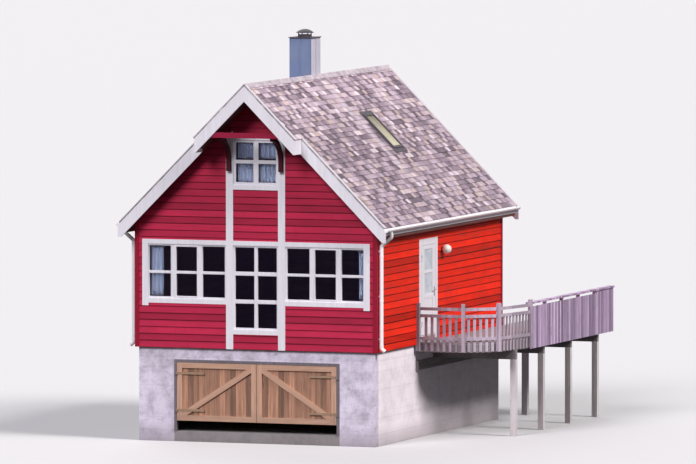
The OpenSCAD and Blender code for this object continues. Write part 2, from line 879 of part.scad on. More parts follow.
// Half-round gutters with a flat back on the fascia and closed ends
module gutters() {
  y0 = house_front - verge_front + barge_t;
  y1 = house_back + verge_back - barge_t;
  color("white") both_sides() {
    difference() {
      along_y(y0, y1) difference() {
        union() {
          translate([gutter_x, gutter_z]) circle(r = gutter_r);
          translate([fascia_x, gutter_z - gutter_r]) square([gutter_t, gutter_r + 12]);
        }
        translate([gutter_x, gutter_z]) circle(r = gutter_r - gutter_t);
        translate([fascia_x + gutter_t, gutter_z]) square([3 * gutter_r, 2 * gutter_r]);
      }
      translate([gutter_x, house_front + pipe_off, gutter_z - 2 * gutter_r])
        cylinder(r = outlet_r - gutter_t, h = 2 * gutter_r);
    }
    translate([gutter_x, house_front + pipe_off, gutter_z - gutter_r - outlet_h]) difference() {
      cylinder(r = outlet_r, h = outlet_h + gutter_t / 2);
      translate([0, 0, -cut]) cylinder(r = outlet_r - gutter_t, h = outlet_h + 2 * cut);
    }
    for (y = [y0, y1 - gutter_t])
      along_y(y, y + gutter_t) intersection() {
        translate([gutter_x, gutter_z]) circle(r = gutter_r - gutter_t);
        translate([gutter_x - gutter_r, gutter_z - gutter_r]) square([2 * gutter_r, gutter_r]);
      }
  }
}

// A straight length of pipe that hangs down from its start, with a joint at both ends
module pipe_length(length) {
  translate([0, 0, joint - length]) cylinder(r = pipe_r, h = length - 2 * joint);
  translate([0, 0, -length]) children();
}

// A bend that turns towards the wall
module bend_tube(turn) {
  translate([-bend_r, 0, 0]) rotate([-90, 0, 0]) rotate_extrude(angle = turn)
    translate([bend_r, 0]) circle(r = pipe_r);
}

// A bend towards the wall, or away from it with a negative turn, and what follows it
module pipe_bend(turn) {
  side = turn > 0 ? 1 : -1;
  if (turn > 0) bend_tube(turn);
  if (turn < 0) mirror([1, 0, 0]) bend_tube(-turn);
  translate([-side * bend_r, 0, 0]) rotate([0, turn, 0]) translate([side * bend_r, 0, 0]) children();
}

// A pipe from the gutter in to each front corner, with a shoe at its foot
module downpipes() {
  wall_x = house_half + pipe_stand + pipe_r;
  y = house_front + pipe_off;
  lean = 50;
  neck = 50;
  shoe = 70;
  slant = (gutter_x - wall_x - 2 * bend_r * (1 - cos(lean))) / sin(lean);
  top_z = gutter_z - gutter_r - outlet_h;
  wall_z = top_z - neck - 2 * bend_r * sin(lean) - slant * cos(lean);
  foot_z = base_h + 120;
  color("white") both_sides() {
    translate([gutter_x, y, top_z])
      pipe_length(neck) pipe_bend(lean) pipe_length(slant) pipe_bend(-lean)
        pipe_length(wall_z - foot_z) pipe_bend(-lean) pipe_length(shoe);
    for (z = [foot_z + 150, (foot_z + wall_z) / 2, wall_z - 100])
      block([house_half, y - 15, z], [wall_x, y + 15, z + 40]);
  }
}

// A square metal-clad stack that passes through the roof
module chimney() {
  color("lightslategray") chimney_shaft(under_z - chimney_in - chimney_w, ridge_z + chimney_rise);
}

// A top plate, a short flue and a rain cover on four legs
module chimney_cap() {
  top_z = ridge_z + chimney_rise;
  centre = [-chimney_in - chimney_w / 2, house_front + chimney_off + chimney_l / 2, top_z];
  plate_over = 25;
  plate_t = 20;
  flue_h = 70;
  cover_gap = 35;
  cover_h = 85;
  cover_r = 270;
  color("dimgray") {
    translate(centre) difference() {
      union() {
        block(
          [-chimney_w / 2 - plate_over, -chimney_l / 2 - plate_over, 0],
          [chimney_w / 2 + plate_over, chimney_l / 2 + plate_over, plate_t]
        );
        cylinder(r = flue_r, h = flue_h);
        for (a = [45:90:315])
          rotate([0, 0, a]) block([flue_r - 12, -8, 0], [flue_r + 8, 8, flue_h + cover_gap]);
        translate([0, 0, flue_h + cover_gap]) rotate_extrude() intersection() {
          translate([0, cover_h - cover_r]) circle(r = cover_r, $fn = 96);
          square([flue_r + 40, cover_h]);
        }
      }
      translate([0, 0, plate_t + 5]) cylinder(r = flue_r - 20, h = flue_h);
    }
  }
}

// A frame that lines the opening and stands out of the slates
module skylight_frame() {
  color("dimgray") difference() {
    skylight_space(0, -roof_t, skylight_up);
    skylight_space(skylight_frame, -roof_t - cut, skylight_up + cut);
  }
}

// A ledger on the concrete and cross beams out to the posts
module deck_bearers() {
  post_reach = deck_post_x + deck_post_w / 2;
  ledger_y0 = house_front + deck_off + rail_post_w;
  color("dimgray") {
    block([base_half, ledger_y0, deck_beam_z - ledger_h], [base_half + ledger_t, base_back, deck_beam_z - joint]);
    for (i = [0:beam_rows - 1]) {
      y = house_front + deck_beam_off + i * deck_beam_gap;
      start_x = y < base_back ? base_half : house_half + 60;
      block([start_x, y - deck_beam_w / 2, deck_beam_z], [post_reach, y + deck_beam_w / 2, deck_beam_top]);
    }
  }
}

// The plan of the deck inside a distance from the rail line
module deck_plan(inset, wall_x) {
  edge = deck_edge(inset);
  polygon(concat([[wall_x, edge[0][1]]], [for (i = [1:len(edge) - 1]) edge[i]],
    [[wall_x, edge[len(edge) - 1][1]]]));
}

// Rim boards round the edge with joists between them
module deck_joists() {
  rim = rail_post_w / 2;
  inner = rim + deck_joist_w;
  rows = floor((rail_3[0] - inner - deck_frame_x) / deck_joist_gap);
  back_y = rail_5[1];
  color("dimgray") translate([0, 0, deck_beam_top]) {
    linear_extrude(height = deck_joist_h) difference() {
      deck_plan(rim, deck_frame_x);
      deck_plan(inner, 0);
    }
    block([deck_frame_x, back_y - deck_joist_w, 0], [rail_5[0] - inner, back_y, deck_joist_h]);
    intersection() {
      linear_extrude(height = deck_joist_h) deck_plan(inner + joint, deck_frame_x);
      for (i = [0:rows])
        block([deck_frame_x + i * deck_joist_gap, rail_start[1], 0],
          [deck_frame_x + i * deck_joist_gap + deck_joist_w, back_y - deck_joist_w - joint, deck_joist_h]);
    }
  }
}

module deck_floor() {
  color("gray") translate([0, 0, deck_frame_z])
    linear_extrude(height = deck_board_t) deck_plan(rail_post_w / 2, deck_wall_x);
}

// Posts under the beams, with one more behind the house
module deck_posts() {
  color("silver") {
    for (i = [0:beam_rows - 1])
      deck_post(deck_post_x, house_front + deck_beam_off + i * deck_beam_gap);
    deck_post(house_half + 60 + deck_post_w / 2, house_front + deck_beam_off + (beam_rows - 1) * deck_beam_gap);
  }
}

module deck_post(x, y) {
  half = deck_post_w / 2;
  block([x - half, y - half, 0], [x + half, y + half, deck_beam_z]);
}

// Returns the angle of the rail line's bay after a corner
function bay_turn(i) = atan2(rail_line[i + 1][1] - rail_line[i][1], rail_line[i + 1][0] - rail_line[i][0]);

// Returns the angle at which the post on a corner stands
function post_turn(i) = i == 0 ? bay_turn(0) : (bay_turn(i - 1) + bay_turn(i)) / 2;

// A rail post on a corner of the rail line
module rail_post(i, up) {
  half = rail_post_w / 2;
  translate([rail_line[i][0], rail_line[i][1], deck_z]) rotate([0, 0, post_turn(i)])
    block([-half, -half, -rail_down], [half, half, up]);
}

// The level rails and balusters between two corners
module rail_bars(i) {
  length = norm(rail_line[i + 1] - rail_line[i]);
  back = rail_post_w / 2;
  front = back - baluster_t;
  count = floor((length - rail_post_w) / baluster_gap);
  start = (length - (count - 1) * baluster_gap) / 2;
  translate([rail_line[i][0], rail_line[i][1], deck_z]) rotate([0, 0, bay_turn(i)]) {
    for (z = [upper_rail, second_rail, low_rail])
      block([0, front - rail_t, z - rail_h / 2], [length, front, z + rail_h / 2]);
    for (k = [0:count - 1])
      block(
        [start + k * baluster_gap - baluster_w / 2, front, -rail_down],
        [start + k * baluster_gap + baluster_w / 2, back, second_rail + rail_h / 2]
      );
  }
}

// One bay with the post at its far corner
module rail_bay(i) {
  difference() {
    rail_bars(i);
    rail_post(i, rail_post_up);
    rail_post(i + 1, rail_post_up);
  }
  rail_post(i + 1, rail_post_up);
}

module deck_rail_front() {
  color("thistle") {
    rail_post(0, rail_post_up);
    rail_bay(0);
  }
}

module deck_rail_slant() {
  color("thistle") rail_bay(1);
}

module deck_rail_side() {
  color("thistle") rail_bay(2);
}

// Upright boards with a handrail over a small gap, and a taller end with none
module deck_screen() {
  back_x = rail_3[0] - rail_post_w / 2;
  mid_posts = 3;
  y0 = rail_3[1];
  y1 = rail_4[1];
  y2 = rail_5[1];
  post_d = 70;
  color("thistle") {
    difference() {
      union() {
        block([back_x, y0, deck_z - rail_down - 40], [back_x + screen_t, y1, deck_z + screen_up]);
        block([back_x, y1, deck_z - rail_down - 40], [back_x + screen_t, y2, deck_z + handrail_up]);
        block(
          [back_x - post_d, y0, deck_z + handrail_up],
          [back_x - post_d + handrail_w, y2, deck_z + handrail_up + handrail_t]
        );
      }
      rail_post(3, rail_post_up);
    }
    for (k = [1:mid_posts + 2])
      translate([back_x - post_d, y0 + (y2 - y0 - post_d) * k / (mid_posts + 2), deck_z])
        cube([post_d, post_d, handrail_up]);
  }
}

base_front_piers();
base_lintel();
base_sides();
base_back();
boat_floor();
boat_door_frame();
boat_door_left();
boat_door_right();
upper_floor();
front_wall();
back_wall();
left_wall();
right_wall();
right_wall_at_door();
corner_boards();
front_trims();
band_windows();
middle_window();
gable_window();
window_glass();
side_door_frame();
side_door();
side_door_glass();
side_door_handle();
wall_lamp();
roof_left();
roof_right();
ridge_cap();
bargeboards();
hood_bargeboards();
hood_frame();
eave_fascias();
gutters();
downpipes();
chimney();
chimney_cap();
skylight_frame();
deck_bearers();
deck_joists();
deck_floor();
deck_posts();
deck_rail_front();
deck_rail_slant();
deck_rail_side();
deck_screen();
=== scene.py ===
"""A red gabled boathouse on a concrete boat store, with a slate roof and a railed timber deck."""
import math

import bmesh
import bpy
from mathutils import Matrix, Vector


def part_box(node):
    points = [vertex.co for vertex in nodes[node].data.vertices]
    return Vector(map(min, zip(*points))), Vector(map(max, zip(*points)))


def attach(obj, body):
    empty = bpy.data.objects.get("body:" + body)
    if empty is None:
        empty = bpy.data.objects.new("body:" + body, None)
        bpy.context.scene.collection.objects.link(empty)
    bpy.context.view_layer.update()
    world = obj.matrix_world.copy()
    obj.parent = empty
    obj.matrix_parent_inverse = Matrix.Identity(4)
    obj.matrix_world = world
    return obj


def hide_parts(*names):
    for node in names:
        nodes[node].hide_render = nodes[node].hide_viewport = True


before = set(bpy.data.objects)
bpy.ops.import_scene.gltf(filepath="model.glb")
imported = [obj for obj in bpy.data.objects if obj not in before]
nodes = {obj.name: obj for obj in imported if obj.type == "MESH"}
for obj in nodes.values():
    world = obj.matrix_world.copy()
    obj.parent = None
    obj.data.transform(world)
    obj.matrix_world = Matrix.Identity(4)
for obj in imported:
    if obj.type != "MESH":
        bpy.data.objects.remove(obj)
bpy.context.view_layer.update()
scene = bpy.context.scene
scene.view_settings.view_transform = "Standard"


# Camera, floor and light
# The boathouse is seen from far off, 20 degrees to the right of its front and a little from
# above. It stands on a plain pale floor, in a broad warm light from the deck side.
view_azimuth, view_elevation = 20.2, 3.7
view_distance = 226.0
view_width = 15.0
sensor_width = 36.0
aim = Vector((0.62, 0.0, 4.28))


def direction(azimuth, elevation):
    """The way towards something at two angles in degrees: round from the front, and up."""
    a, e = math.radians(azimuth), math.radians(elevation)
    return Vector((math.sin(a) * math.cos(e), -math.cos(a) * math.cos(e), math.sin(e)))


def new_object(name, data):
    """Links something new to the scene at the origin."""
    thing = bpy.data.objects.new(name, data)
    scene.collection.objects.link(thing)
    return thing


camera_data = bpy.data.cameras.new("camera")
camera_data.sensor_width = sensor_width
camera_data.lens = sensor_width * view_distance / view_width
camera_data.clip_start = 10.0
camera_data.clip_end = 4000.0
camera = new_object("camera", camera_data)
to_camera = direction(view_azimuth, view_elevation)
camera.location = aim + to_camera * view_distance
camera.rotation_mode = "QUATERNION"
camera.rotation_quaternion = (-to_camera).to_track_quat("-Z", "Y")
scene.camera = camera


def add_light(name, azimuth, elevation, strength, colour, softness):
    """Adds a far lamp that shines from a direction given in degrees."""
    lamp = bpy.data.lights.new(name, "SUN")
    lamp.energy = strength
    lamp.color = colour
    lamp.angle = math.radians(softness)
    holder = new_object(name, lamp)
    holder.rotation_mode = "QUATERNION"
    holder.rotation_quaternion = direction(azimuth, elevation).to_track_quat("Z", "Y")


add_light("key_light", 79, 41, 3.25, (1.0, 0.95, 0.94), 20)
add_light("fill_light", -12, 36, 2.45, (0.98, 0.95, 1.0), 26)
add_light("back_light", 215, 35, 0.8, (0.95, 0.96, 1.0), 45)


def fill(node, sockets):
    """Links a node's inputs or gives them values. A colour is three numbers."""
    for name, value in sockets.items():
        socket = node.inputs[name]
        if isinstance(value, bpy.types.NodeSocket):
            node.id_data.links.new(value, socket)
        elif socket.type == "RGBA":
            socket.default_value = (*value, 1)
        else:
            socket.default_value = value


def place(kind, sockets, tree=None, **options):
    """Adds a node to the tree that its inputs come from, sets its options and fills its inputs."""
    tree = tree or next(value.id_data for value in sockets.values() if isinstance(value, bpy.types.NodeSocket))
    node = tree.nodes.new(kind)
    for option, value in options.items():
        setattr(node, option, value)
    fill(node, sockets)
    return node


def maths(operation, *values):
    """Adds one sum and returns its value."""
    return place("ShaderNodeMath", dict(enumerate(values)), operation=operation).outputs[0]


def times(a, b):
    """Multiplies two values."""
    return maths("MULTIPLY", a, b)


def blended(factor, a, b, blend_type="MIX"):
    """Mixes two colours and returns the result."""
    return place("ShaderNodeMix", {0: factor, 6: a, 7: b}, data_type="RGBA", blend_type=blend_type).outputs[2]


def new_material(name, sockets):
    """Starts a material, and returns it with its shader and its Object coordinates."""
    material = bpy.data.materials.new(name)
    material.use_nodes = True
    shader = material.node_tree.nodes["Principled BSDF"]
    fill(shader, sockets)
    return material, shader, material.node_tree.nodes.new("ShaderNodeTexCoord").outputs["Object"]


world = bpy.data.worlds.new("studio")
world.use_nodes = True
scene.world = world
sky = world.node_tree
seen = sky.nodes.new("ShaderNodeLightPath").outputs
shown_rays = seen["Is Camera Ray"]
for label in ("Is Glossy Ray", "Is Transmission Ray"):
    shown_rays = maths("MAXIMUM", shown_rays, seen[label])
shown_rays = times(shown_rays, maths("LESS_THAN", seen["Diffuse Depth"], 0.5))
soft_light = place("ShaderNodeBackground", {"Color": (0.92, 0.93, 1.0), "Strength": 0.13}, sky).outputs[0]
pale_view = place("ShaderNodeBackground", {"Color": (0.90, 0.90, 0.91), "Strength": 1.0}, sky).outputs[0]
mixed = place("ShaderNodeMixShader", {0: shown_rays, 1: soft_light, 2: pale_view}).outputs[0]
fill(sky.nodes["World Output"], {"Surface": mixed})

floor_half, floor_drop = 2500.0, 0.002
floor_corners = [(x * floor_half, y * floor_half, 0) for x, y in ((-1, -1), (1, -1), (1, 1), (-1, 1))]
floor_mesh = bpy.data.meshes.new("studio_floor")
floor_mesh.from_pydata(floor_corners, [], [(0, 1, 2, 3)])
floor = new_object("studio_floor", floor_mesh)
floor.location.z = -floor_drop
floor_finish, shader = new_material("studio_floor", {"Roughness": 0.9})[:2]
straight_look = shader.id_data.nodes.new("ShaderNodeLightPath").outputs["Is Camera Ray"]
fill(shader, {"Base Color": blended(straight_look, (0.045, 0.045, 0.047), (0.60, 0.60, 0.61))})
floor_mesh.materials.append(floor_finish)


# Concrete boat store
# Grey walls cast against rough boards, with level lines between the pours, run-off streaks
# under the cladding and a damp darker foot. The floor slab is floated and darker.
def new_group(name, kind, inputs, outputs):
    """Starts a node group, and returns it with its input sockets and its output node."""
    group = bpy.data.node_groups.new(name, kind)
    for in_out, sockets in (("INPUT", inputs), ("OUTPUT", outputs)):
        for label, socket, *value in sockets:
            item = group.interface.new_socket(name=label, in_out=in_out, socket_type="NodeSocket" + socket)
            if value:
                item.default_value = value[0]
    return group, group.nodes.new("NodeGroupInput").outputs, group.nodes.new("NodeGroupOutput")


def use_group(group, sockets):
    """Places a node group and returns its outputs."""
    return place("ShaderNodeGroup", sockets, node_tree=group).outputs


def minus(a, b):
    """Takes one value from another."""
    return maths("SUBTRACT", a, b)


def times_plus(a, b, c):
    """Multiplies two values and adds a third."""
    return maths("MULTIPLY_ADD", a, b, c)


def ramp_between(value, low, high, out_low=0.0, out_high=1.0):
    """Turns a value between low and high into one between two others, kept inside them."""
    return place("ShaderNodeMapRange", {"Value": value, "From Min": low, "From Max": high,
                                        "To Min": out_low, "To Max": out_high}).outputs[0]


def toned(colour, tone):
    """Darkens or lightens a colour by a value."""
    grey = place("ShaderNodeCombineColor", {0: tone, 1: tone, 2: tone}).outputs[0]
    return blended(1.0, colour, grey, "MULTIPLY")


def axes_of(vector):
    """Takes a vector apart into X, Y and Z."""
    return place("ShaderNodeSeparateXYZ", {0: vector}).outputs


def speckle(vector, scale, stretch=(1, 1, 1), detail=4.0, roughness=0.6, turn=(0, 0, 0.65)):
    """Adds a noise over coordinates that are stretched and turned off the walls' lines."""
    moved = place("ShaderNodeMapping", {"Vector": vector, "Scale": stretch, "Rotation": turn}).outputs[0]
    return place("ShaderNodeTexNoise", {
        "Vector": moved, "Scale": scale, "Detail": detail, "Roughness": roughness}).outputs[0]


def bumped(height, depth):
    """Turns a height into a normal. Depth is in metres."""
    return place("ShaderNodeBump", {"Height": height, "Distance": depth, "Strength": 1.0}).outputs[0]


def dress(material, *names):
    """Gives carried-over CAD nodes a material."""
    for name in names:
        mesh = nodes[name].data
        mesh.materials.clear()
        mesh.materials.append(material)


# Weather darkens a finish with broad stains and narrow vertical runs
weather, given, result = new_group("weather", "ShaderNodeTree", [
    ("Vector", "Vector"), ("Color", "Color"), ("Stain", "Color"), ("Amount", "Float", 0.3), ("Scale", "Float", 1.0)],
    [("Color", "Color")])
scaled = place("ShaderNodeVectorMath", {0: given["Vector"], "Scale": given["Scale"]}, operation="SCALE").outputs[0]
patches = ramp_between(speckle(scaled, 0.9, detail=6), 0.38, 0.68)
runs = ramp_between(speckle(scaled, 9.0, (1, 1, 0.06), detail=5, turn=(0, 0, 0.9)), 0.56, 0.80)
here_and_there = ramp_between(speckle(scaled, 1.4, (1, 1, 0.5), detail=2), 0.45, 0.65)
runs = times(runs, times(here_and_there, 1.6))
stains = times(maths("ADD", patches, runs), times(given["Amount"], 0.5))
fill(result, {"Color": blended(stains, given["Color"], given["Stain"])})


def weathered(here, colour, stain, amount, scale=2.0):
    """Marks a colour with the weather's stains and runs."""
    return use_group(weather, {
        "Vector": here, "Color": colour, "Stain": stain, "Amount": amount, "Scale": scale})["Color"]


# Boards across one direction: a shade of its own for each, and a dark line at each joint
board_lines, given, result = new_group("board_lines", "ShaderNodeTree", [
    ("Across", "Float"), ("Width", "Float", 0.1), ("Joint", "Float", 0.004)],
    [("Shade", "Float"), ("Line", "Float")])
steps = maths("DIVIDE", given["Across"], given["Width"])
shade = place("ShaderNodeTexWhiteNoise", {"W": maths("FLOOR", steps)}, noise_dimensions="1D").outputs["Value"]
within = times(maths("FRACT", steps), given["Width"])
to_edge = maths("MINIMUM", within, minus(given["Width"], within))
fill(result, {"Shade": shade, "Line": maths("LESS_THAN", to_edge, given["Joint"])})


def concrete_finish(name, colour, stain, form_board, damp=0.5, wear=0.5):
    """Board-marked concrete: faint boards, wavering pour lines, clouds, scuffs, pores and a damp foot."""
    material, shader, here = new_material(name, {"Roughness": 0.88})
    up = axes_of(here)["Z"]
    cloud = speckle(here, 0.9, detail=8)
    patch = speckle(here, 3.3, detail=6, roughness=0.7)
    pores = speckle(here, 60.0, detail=4)
    wavering = times_plus(speckle(here, 1.3, detail=2), 0.06, up)
    marks = use_group(board_lines, {"Across": up, "Width": form_board, "Joint": 0.003})
    pours = use_group(board_lines, {"Across": wavering, "Width": 0.61, "Joint": 0.009})
    tone = times_plus(marks["Shade"], 0.05, times_plus(cloud, 0.55, 0.70))
    tone = times_plus(ramp_between(patch, 0.42, 0.68), -0.64 * wear, tone)
    tone = minus(tone, times(pours["Line"], 0.09))
    tone = minus(tone, times(marks["Line"], 0.02))
    tone = minus(tone, ramp_between(pores, 0.62, 0.70, 0.0, 0.18))
    scuffs = ramp_between(speckle(here, 4.6, (1, 1, 2.2), detail=7, roughness=0.72), 0.60, 0.70)
    plain = blended(times(scuffs, 1.3 * wear), toned(colour, tone), stain)
    foot = ramp_between(times_plus(patch, 0.45, up), 0.62, 0.20)
    shade = blended(times(foot, damp), weathered(here, plain, stain, wear, 1.0), (0.13, 0.105, 0.095))
    raised = times_plus(patch, 0.6, times(marks["Shade"], 0.25))
    sunk = times_plus(pores, 0.25, times(marks["Line"], 0.1))
    fill(shader, {"Base Color": shade, "Normal": bumped(minus(raised, sunk), 0.008)})
    return material


form_board, floor_bay = 0.122, 0.7
# Lit and shaded copies of one concrete: the piers and lintel bluer and darker as painted shade, the sides and back
# paler as painted sunlight
concrete = concrete_finish("concrete", (0.88, 0.805, 0.95), (0.34, 0.30, 0.38), form_board, wear=0.7)
dress(concrete, "base_front_piers", "base_lintel")
side_concrete = concrete_finish("side_concrete", (1.0, 0.92, 0.99), (0.58, 0.53, 0.55), form_board, wear=0.25)
dress(side_concrete, "base_sides", "base_back")
slab_concrete = concrete_finish("slab_concrete", (0.36, 0.33, 0.34), (0.16, 0.15, 0.14), floor_bay, damp=0.3)
dress(slab_concrete, "boat_floor")


# Boat doors
# Two leaves of upright pine boards behind a frame and one brace each, oiled and gone honey
# brown, on steel strap hinges that lift off pins in the grey painted frame.
timber, given, result = new_group("timber", "ShaderNodeTree", [
    ("Vector", "Vector"), ("Width", "Float", 0.1), ("Light", "Color"), ("Dark", "Color"),
    ("Variation", "Float", 0.4)], [("Color", "Color"), ("Height", "Float")])
parts = axes_of(given["Vector"])
lines = use_group(board_lines, {"Across": parts["Y"], "Width": given["Width"], "Joint": 0.0})
shifted = times_plus(lines["Shade"], 31.0, parts["X"])
moved = place("ShaderNodeCombineXYZ", {0: shifted, 1: parts["Y"], 2: parts["Z"]}).outputs[0]
figure = speckle(moved, 6.0, (0.16, 3.0, 3.0), detail=5, roughness=0.65, turn=(0.65, 0, 0))
fibre = speckle(moved, 42.0, (0.1, 3.0, 3.0), detail=3, turn=(0.65, 0, 0))
squeezed = place("ShaderNodeVectorMath", {0: moved, 1: (1.6, 5.0, 5.0)}, operation="MULTIPLY").outputs[0]
knots = place("ShaderNodeTexVoronoi", {"Vector": squeezed, "Scale": 1.0}).outputs["Distance"]
mix = minus(ramp_between(times_plus(fibre, 0.45, figure), 0.5, 0.95), ramp_between(knots, 0.13, 0.05))
tone = times_plus(minus(lines["Shade"], 0.5), given["Variation"], 1.0)
fill(result, {"Color": toned(blended(mix, given["Dark"], given["Light"]), tone),
              "Height": times_plus(fibre, 0.6, figure)})

# For each way the grain can run, the turn in degrees that brings it to X, with the boards' width on Y
grain_turns = {"x": (0, 0, 0), "x_upright": (-90, 0, 0), "y": (0, 0, -90), "z": (90, 0, 90), "z_side": (0, 90, 0)}


def timber_run(vector, grain, width, light, dark, variation, offset=(0, 0, 0)):
    """Boards of one width side by side, with their grain one way."""
    turn = [math.radians(angle) for angle in grain_turns[grain]]
    turned = place("ShaderNodeMapping", {"Vector": vector, "Rotation": turn, "Location": offset}).outputs[0]
    return use_group(timber, {
        "Vector": turned, "Width": width, "Light": light, "Dark": dark, "Variation": variation})


def timber_finish(name, light, dark, grain, width, variation=0.4, roughness=0.7, stain=None, amount=0.4, first=0.0):
    """Bare or oiled timber in boards of one width, the first of them where it is said, weathered outside."""
    material, shader, here = new_material(name, {"Roughness": roughness})
    wood = timber_run(here, grain, width, light, dark, variation, (0, -first, 0))
    colour = weathered(here, wood["Color"], stain, amount) if stain else wood["Color"]
    fill(shader, {"Base Color": colour, "Normal": bumped(wood["Height"], 0.002)})
    return material


leaf_low, leaf_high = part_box("boat_door_right")
leaf_thick, frame_thick = 0.057, 0.034
leaf_face = leaf_high.y - leaf_thick
free_edge, hinge_edge = leaf_low.x, 1.8105
leaf_boards = 15
board_w = (hinge_edge - free_edge) / leaf_boards
leaf_w, rail_w = 1.8, 0.118
hair = 0.0005


def leaf_finish():
    """Pine with its grain up the boards and stiles, along the rails, and slantwise up the braces."""
    material, shader, here = new_material("pine", {"Roughness": 0.55})
    axes = axes_of(here)
    from_middle = minus(maths("ABSOLUTE", axes["X"]), free_edge)
    folded = place("ShaderNodeCombineXYZ", {0: from_middle, 1: axes["Y"], 2: axes["Z"]}).outputs[0]
    slant = math.atan2(leaf_high.z - leaf_low.z - 2 * rail_w, leaf_w - 2 * rail_w)
    tilted = place("ShaderNodeMapping", {"Vector": folded, "Rotation": (0, -slant, 0)}).outputs[0]
    upright = timber_run(folded, "z", board_w, (0.50, 0.265, 0.165), (0.21, 0.10, 0.065), 0.85)
    stile, rail, brace = [
        timber_run(vector, grain, 0.9, (0.66, 0.405, 0.285), (0.44, 0.245, 0.165), 0.1)
        for vector, grain in ((folded, "z"), (here, "x_upright"), (tilted, "x_upright"))]
    in_rail = maths("MAXIMUM", maths("GREATER_THAN", axes["Z"], leaf_high.z - rail_w),
                    maths("LESS_THAN", axes["Z"], leaf_low.z + rail_w))
    in_stile = maths("MAXIMUM", maths("LESS_THAN", from_middle, rail_w),
                     maths("GREATER_THAN", from_middle, leaf_boards * board_w - rail_w))
    colour, height = brace["Color"], brace["Height"]
    for mask, run in ((in_rail, rail), (in_stile, stile)):
        colour = blended(mask, colour, run["Color"])
        height = maths("ADD", times(minus(1.0, mask), height), times(mask, run["Height"]))
    proud = maths("LESS_THAN", axes["Y"], leaf_face + frame_thick)
    colour = blended(proud, upright["Color"], colour)
    greyed = ramp_between(times_plus(speckle(here, 2.5, detail=5), 0.7, axes["Z"]), 1.05, 0.70)
    colour = blended(times(greyed, 0.35), colour, (0.20, 0.15, 0.115))
    steel = maths("LESS_THAN", axes["Y"], leaf_face - hair)
    rust = ramp_between(speckle(here, 30.0, detail=5), 0.50, 0.66)
    metal = blended(rust, (0.36, 0.235, 0.155), (0.26, 0.15, 0.095))
    fill(shader, {"Base Color": blended(steel, colour, metal), "Metallic": times(steel, 0.25),
                  "Normal": bumped(height, 0.002)})
    return material


dress(leaf_finish(), "boat_door_left", "boat_door_right")
grey_frame = timber_finish("grey_frame", (0.20, 0.175, 0.20), (0.12, 0.105, 0.12), "z", 0.3, variation=0.1,
                           roughness=0.6, stain=(0.08, 0.07, 0.075))
dress(grey_frame, "boat_door_frame")


# Upper floor
# Planed boards on joists over the boat store, of bare spruce that has gone yellow.
inside_board = 0.12
floor_wood = timber_finish("floor_timber", (0.52, 0.38, 0.22), (0.36, 0.24, 0.13), "x", inside_board, roughness=0.6)
dress(floor_wood, "upper_floor")


# Timber walls
# Framed walls lined inside with plain boards and clad outside with lapped boards, each nailed
# over the one below. The cladding is painted red, in a darker crimson copy as painted shade on
# the walls out of the sun and a brighter orange copy as painted sunlight on the deck side.
lining = timber_finish("lining", (0.30, 0.21, 0.125), (0.19, 0.13, 0.075), "x_upright", inside_board, variation=0.2)
dress(lining, "front_wall", "back_wall", "left_wall", "right_wall", "right_wall_at_door")

cladding_foot = 2.0
course = 0.1475
butt, tip, arris = 0.020, 0.007, 0.003
eave_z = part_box("left_wall")[1].z
face_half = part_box("front_wall")[1].x
front_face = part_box("front_wall")[0].y
back_face, under_ridge_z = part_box("back_wall")[1].yz


def red_paint_finish(name, colour, worn, contrast):
    """Oil paint over sawn boards: a shade for each course, a painted shade line along each lap, fine grain and a
    chalky fade.
    """
    material, shader, here = new_material(name, {"Specular IOR Level": 0.12})
    above_foot = minus(axes_of(here)["Z"], cladding_foot)
    rows = use_group(board_lines, {"Across": above_foot, "Width": course, "Joint": 0.013})
    along = speckle(here, 2.2, (0.6, 0.6, 5.0), detail=5)
    tone = times_plus(rows["Shade"], contrast, 1.0 - contrast / 2)
    tone = times_plus(minus(along, 0.5), 1.5 * contrast, tone)
    # A dark band along each lap joint: painted shade under the boards' butts
    tone = times_plus(rows["Line"], -0.9 * contrast, tone)
    fill(shader, {"Base Color": weathered(here, toned(colour, tone), worn, 0.45, 1.4),
                  "Roughness": ramp_between(along, 0.3, 0.7, 0.5, 0.72),
                  "Normal": bumped(speckle(here, 30.0, (0.15, 0.15, 4.0), detail=3), 0.0015)})
    return material


# One red paint in two copies: crimson with painted shade, and orange with painted sunlight for the deck side
shaded_red_copy = red_paint_finish("red_paint_front", (0.47, 0.022, 0.066), (0.28, 0.014, 0.038), 0.46)
sunlit_red_copy = red_paint_finish("red_paint_side", (0.73, 0.0235, 0.008), (0.41, 0.0072, 0.004), 0.72)


def skin(bm, rings):
    """Adds a closed body through rings of points, from one end to the other."""
    rings = [[bm.verts.new(point) for point in ring] for ring in rings]
    bm.faces.new(reversed(rings[0]))
    bm.faces.new(rings[-1])
    for a, b in zip(rings, rings[1:]):
        for i in range(len(a)):
            j = (i + 1) % len(a)
            bm.faces.new((a[i], a[j], b[j], b[i]))


def mesh_of(bm, name):
    """Turns a mesh in the making into a finished one, with its faces outwards."""
    bmesh.ops.recalc_face_normals(bm, faces=bm.faces)
    mesh = bpy.data.meshes.new(name)
    bm.to_mesh(mesh)
    bm.free()
    return mesh


def finish_bmesh(bm, name, material, body="house"):
    """Turns a mesh in the making into a piece that rides on a body."""
    mesh = mesh_of(bm, name)
    mesh.materials.append(material)
    piece = new_object(name, mesh)
    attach(piece, body)
    return piece


def solid(name, rings):
    """Makes an object through rings of points, to be set again and again."""
    bm = bmesh.new()
    skin(bm, rings)
    return new_object(name, mesh_of(bm, name))


def prism(name, outline, length):
    """Makes such an object from an outline of (y, z) drawn along X."""
    return solid(name, [[(x, y, z) for y, z in outline] for x in (0.0, length)])


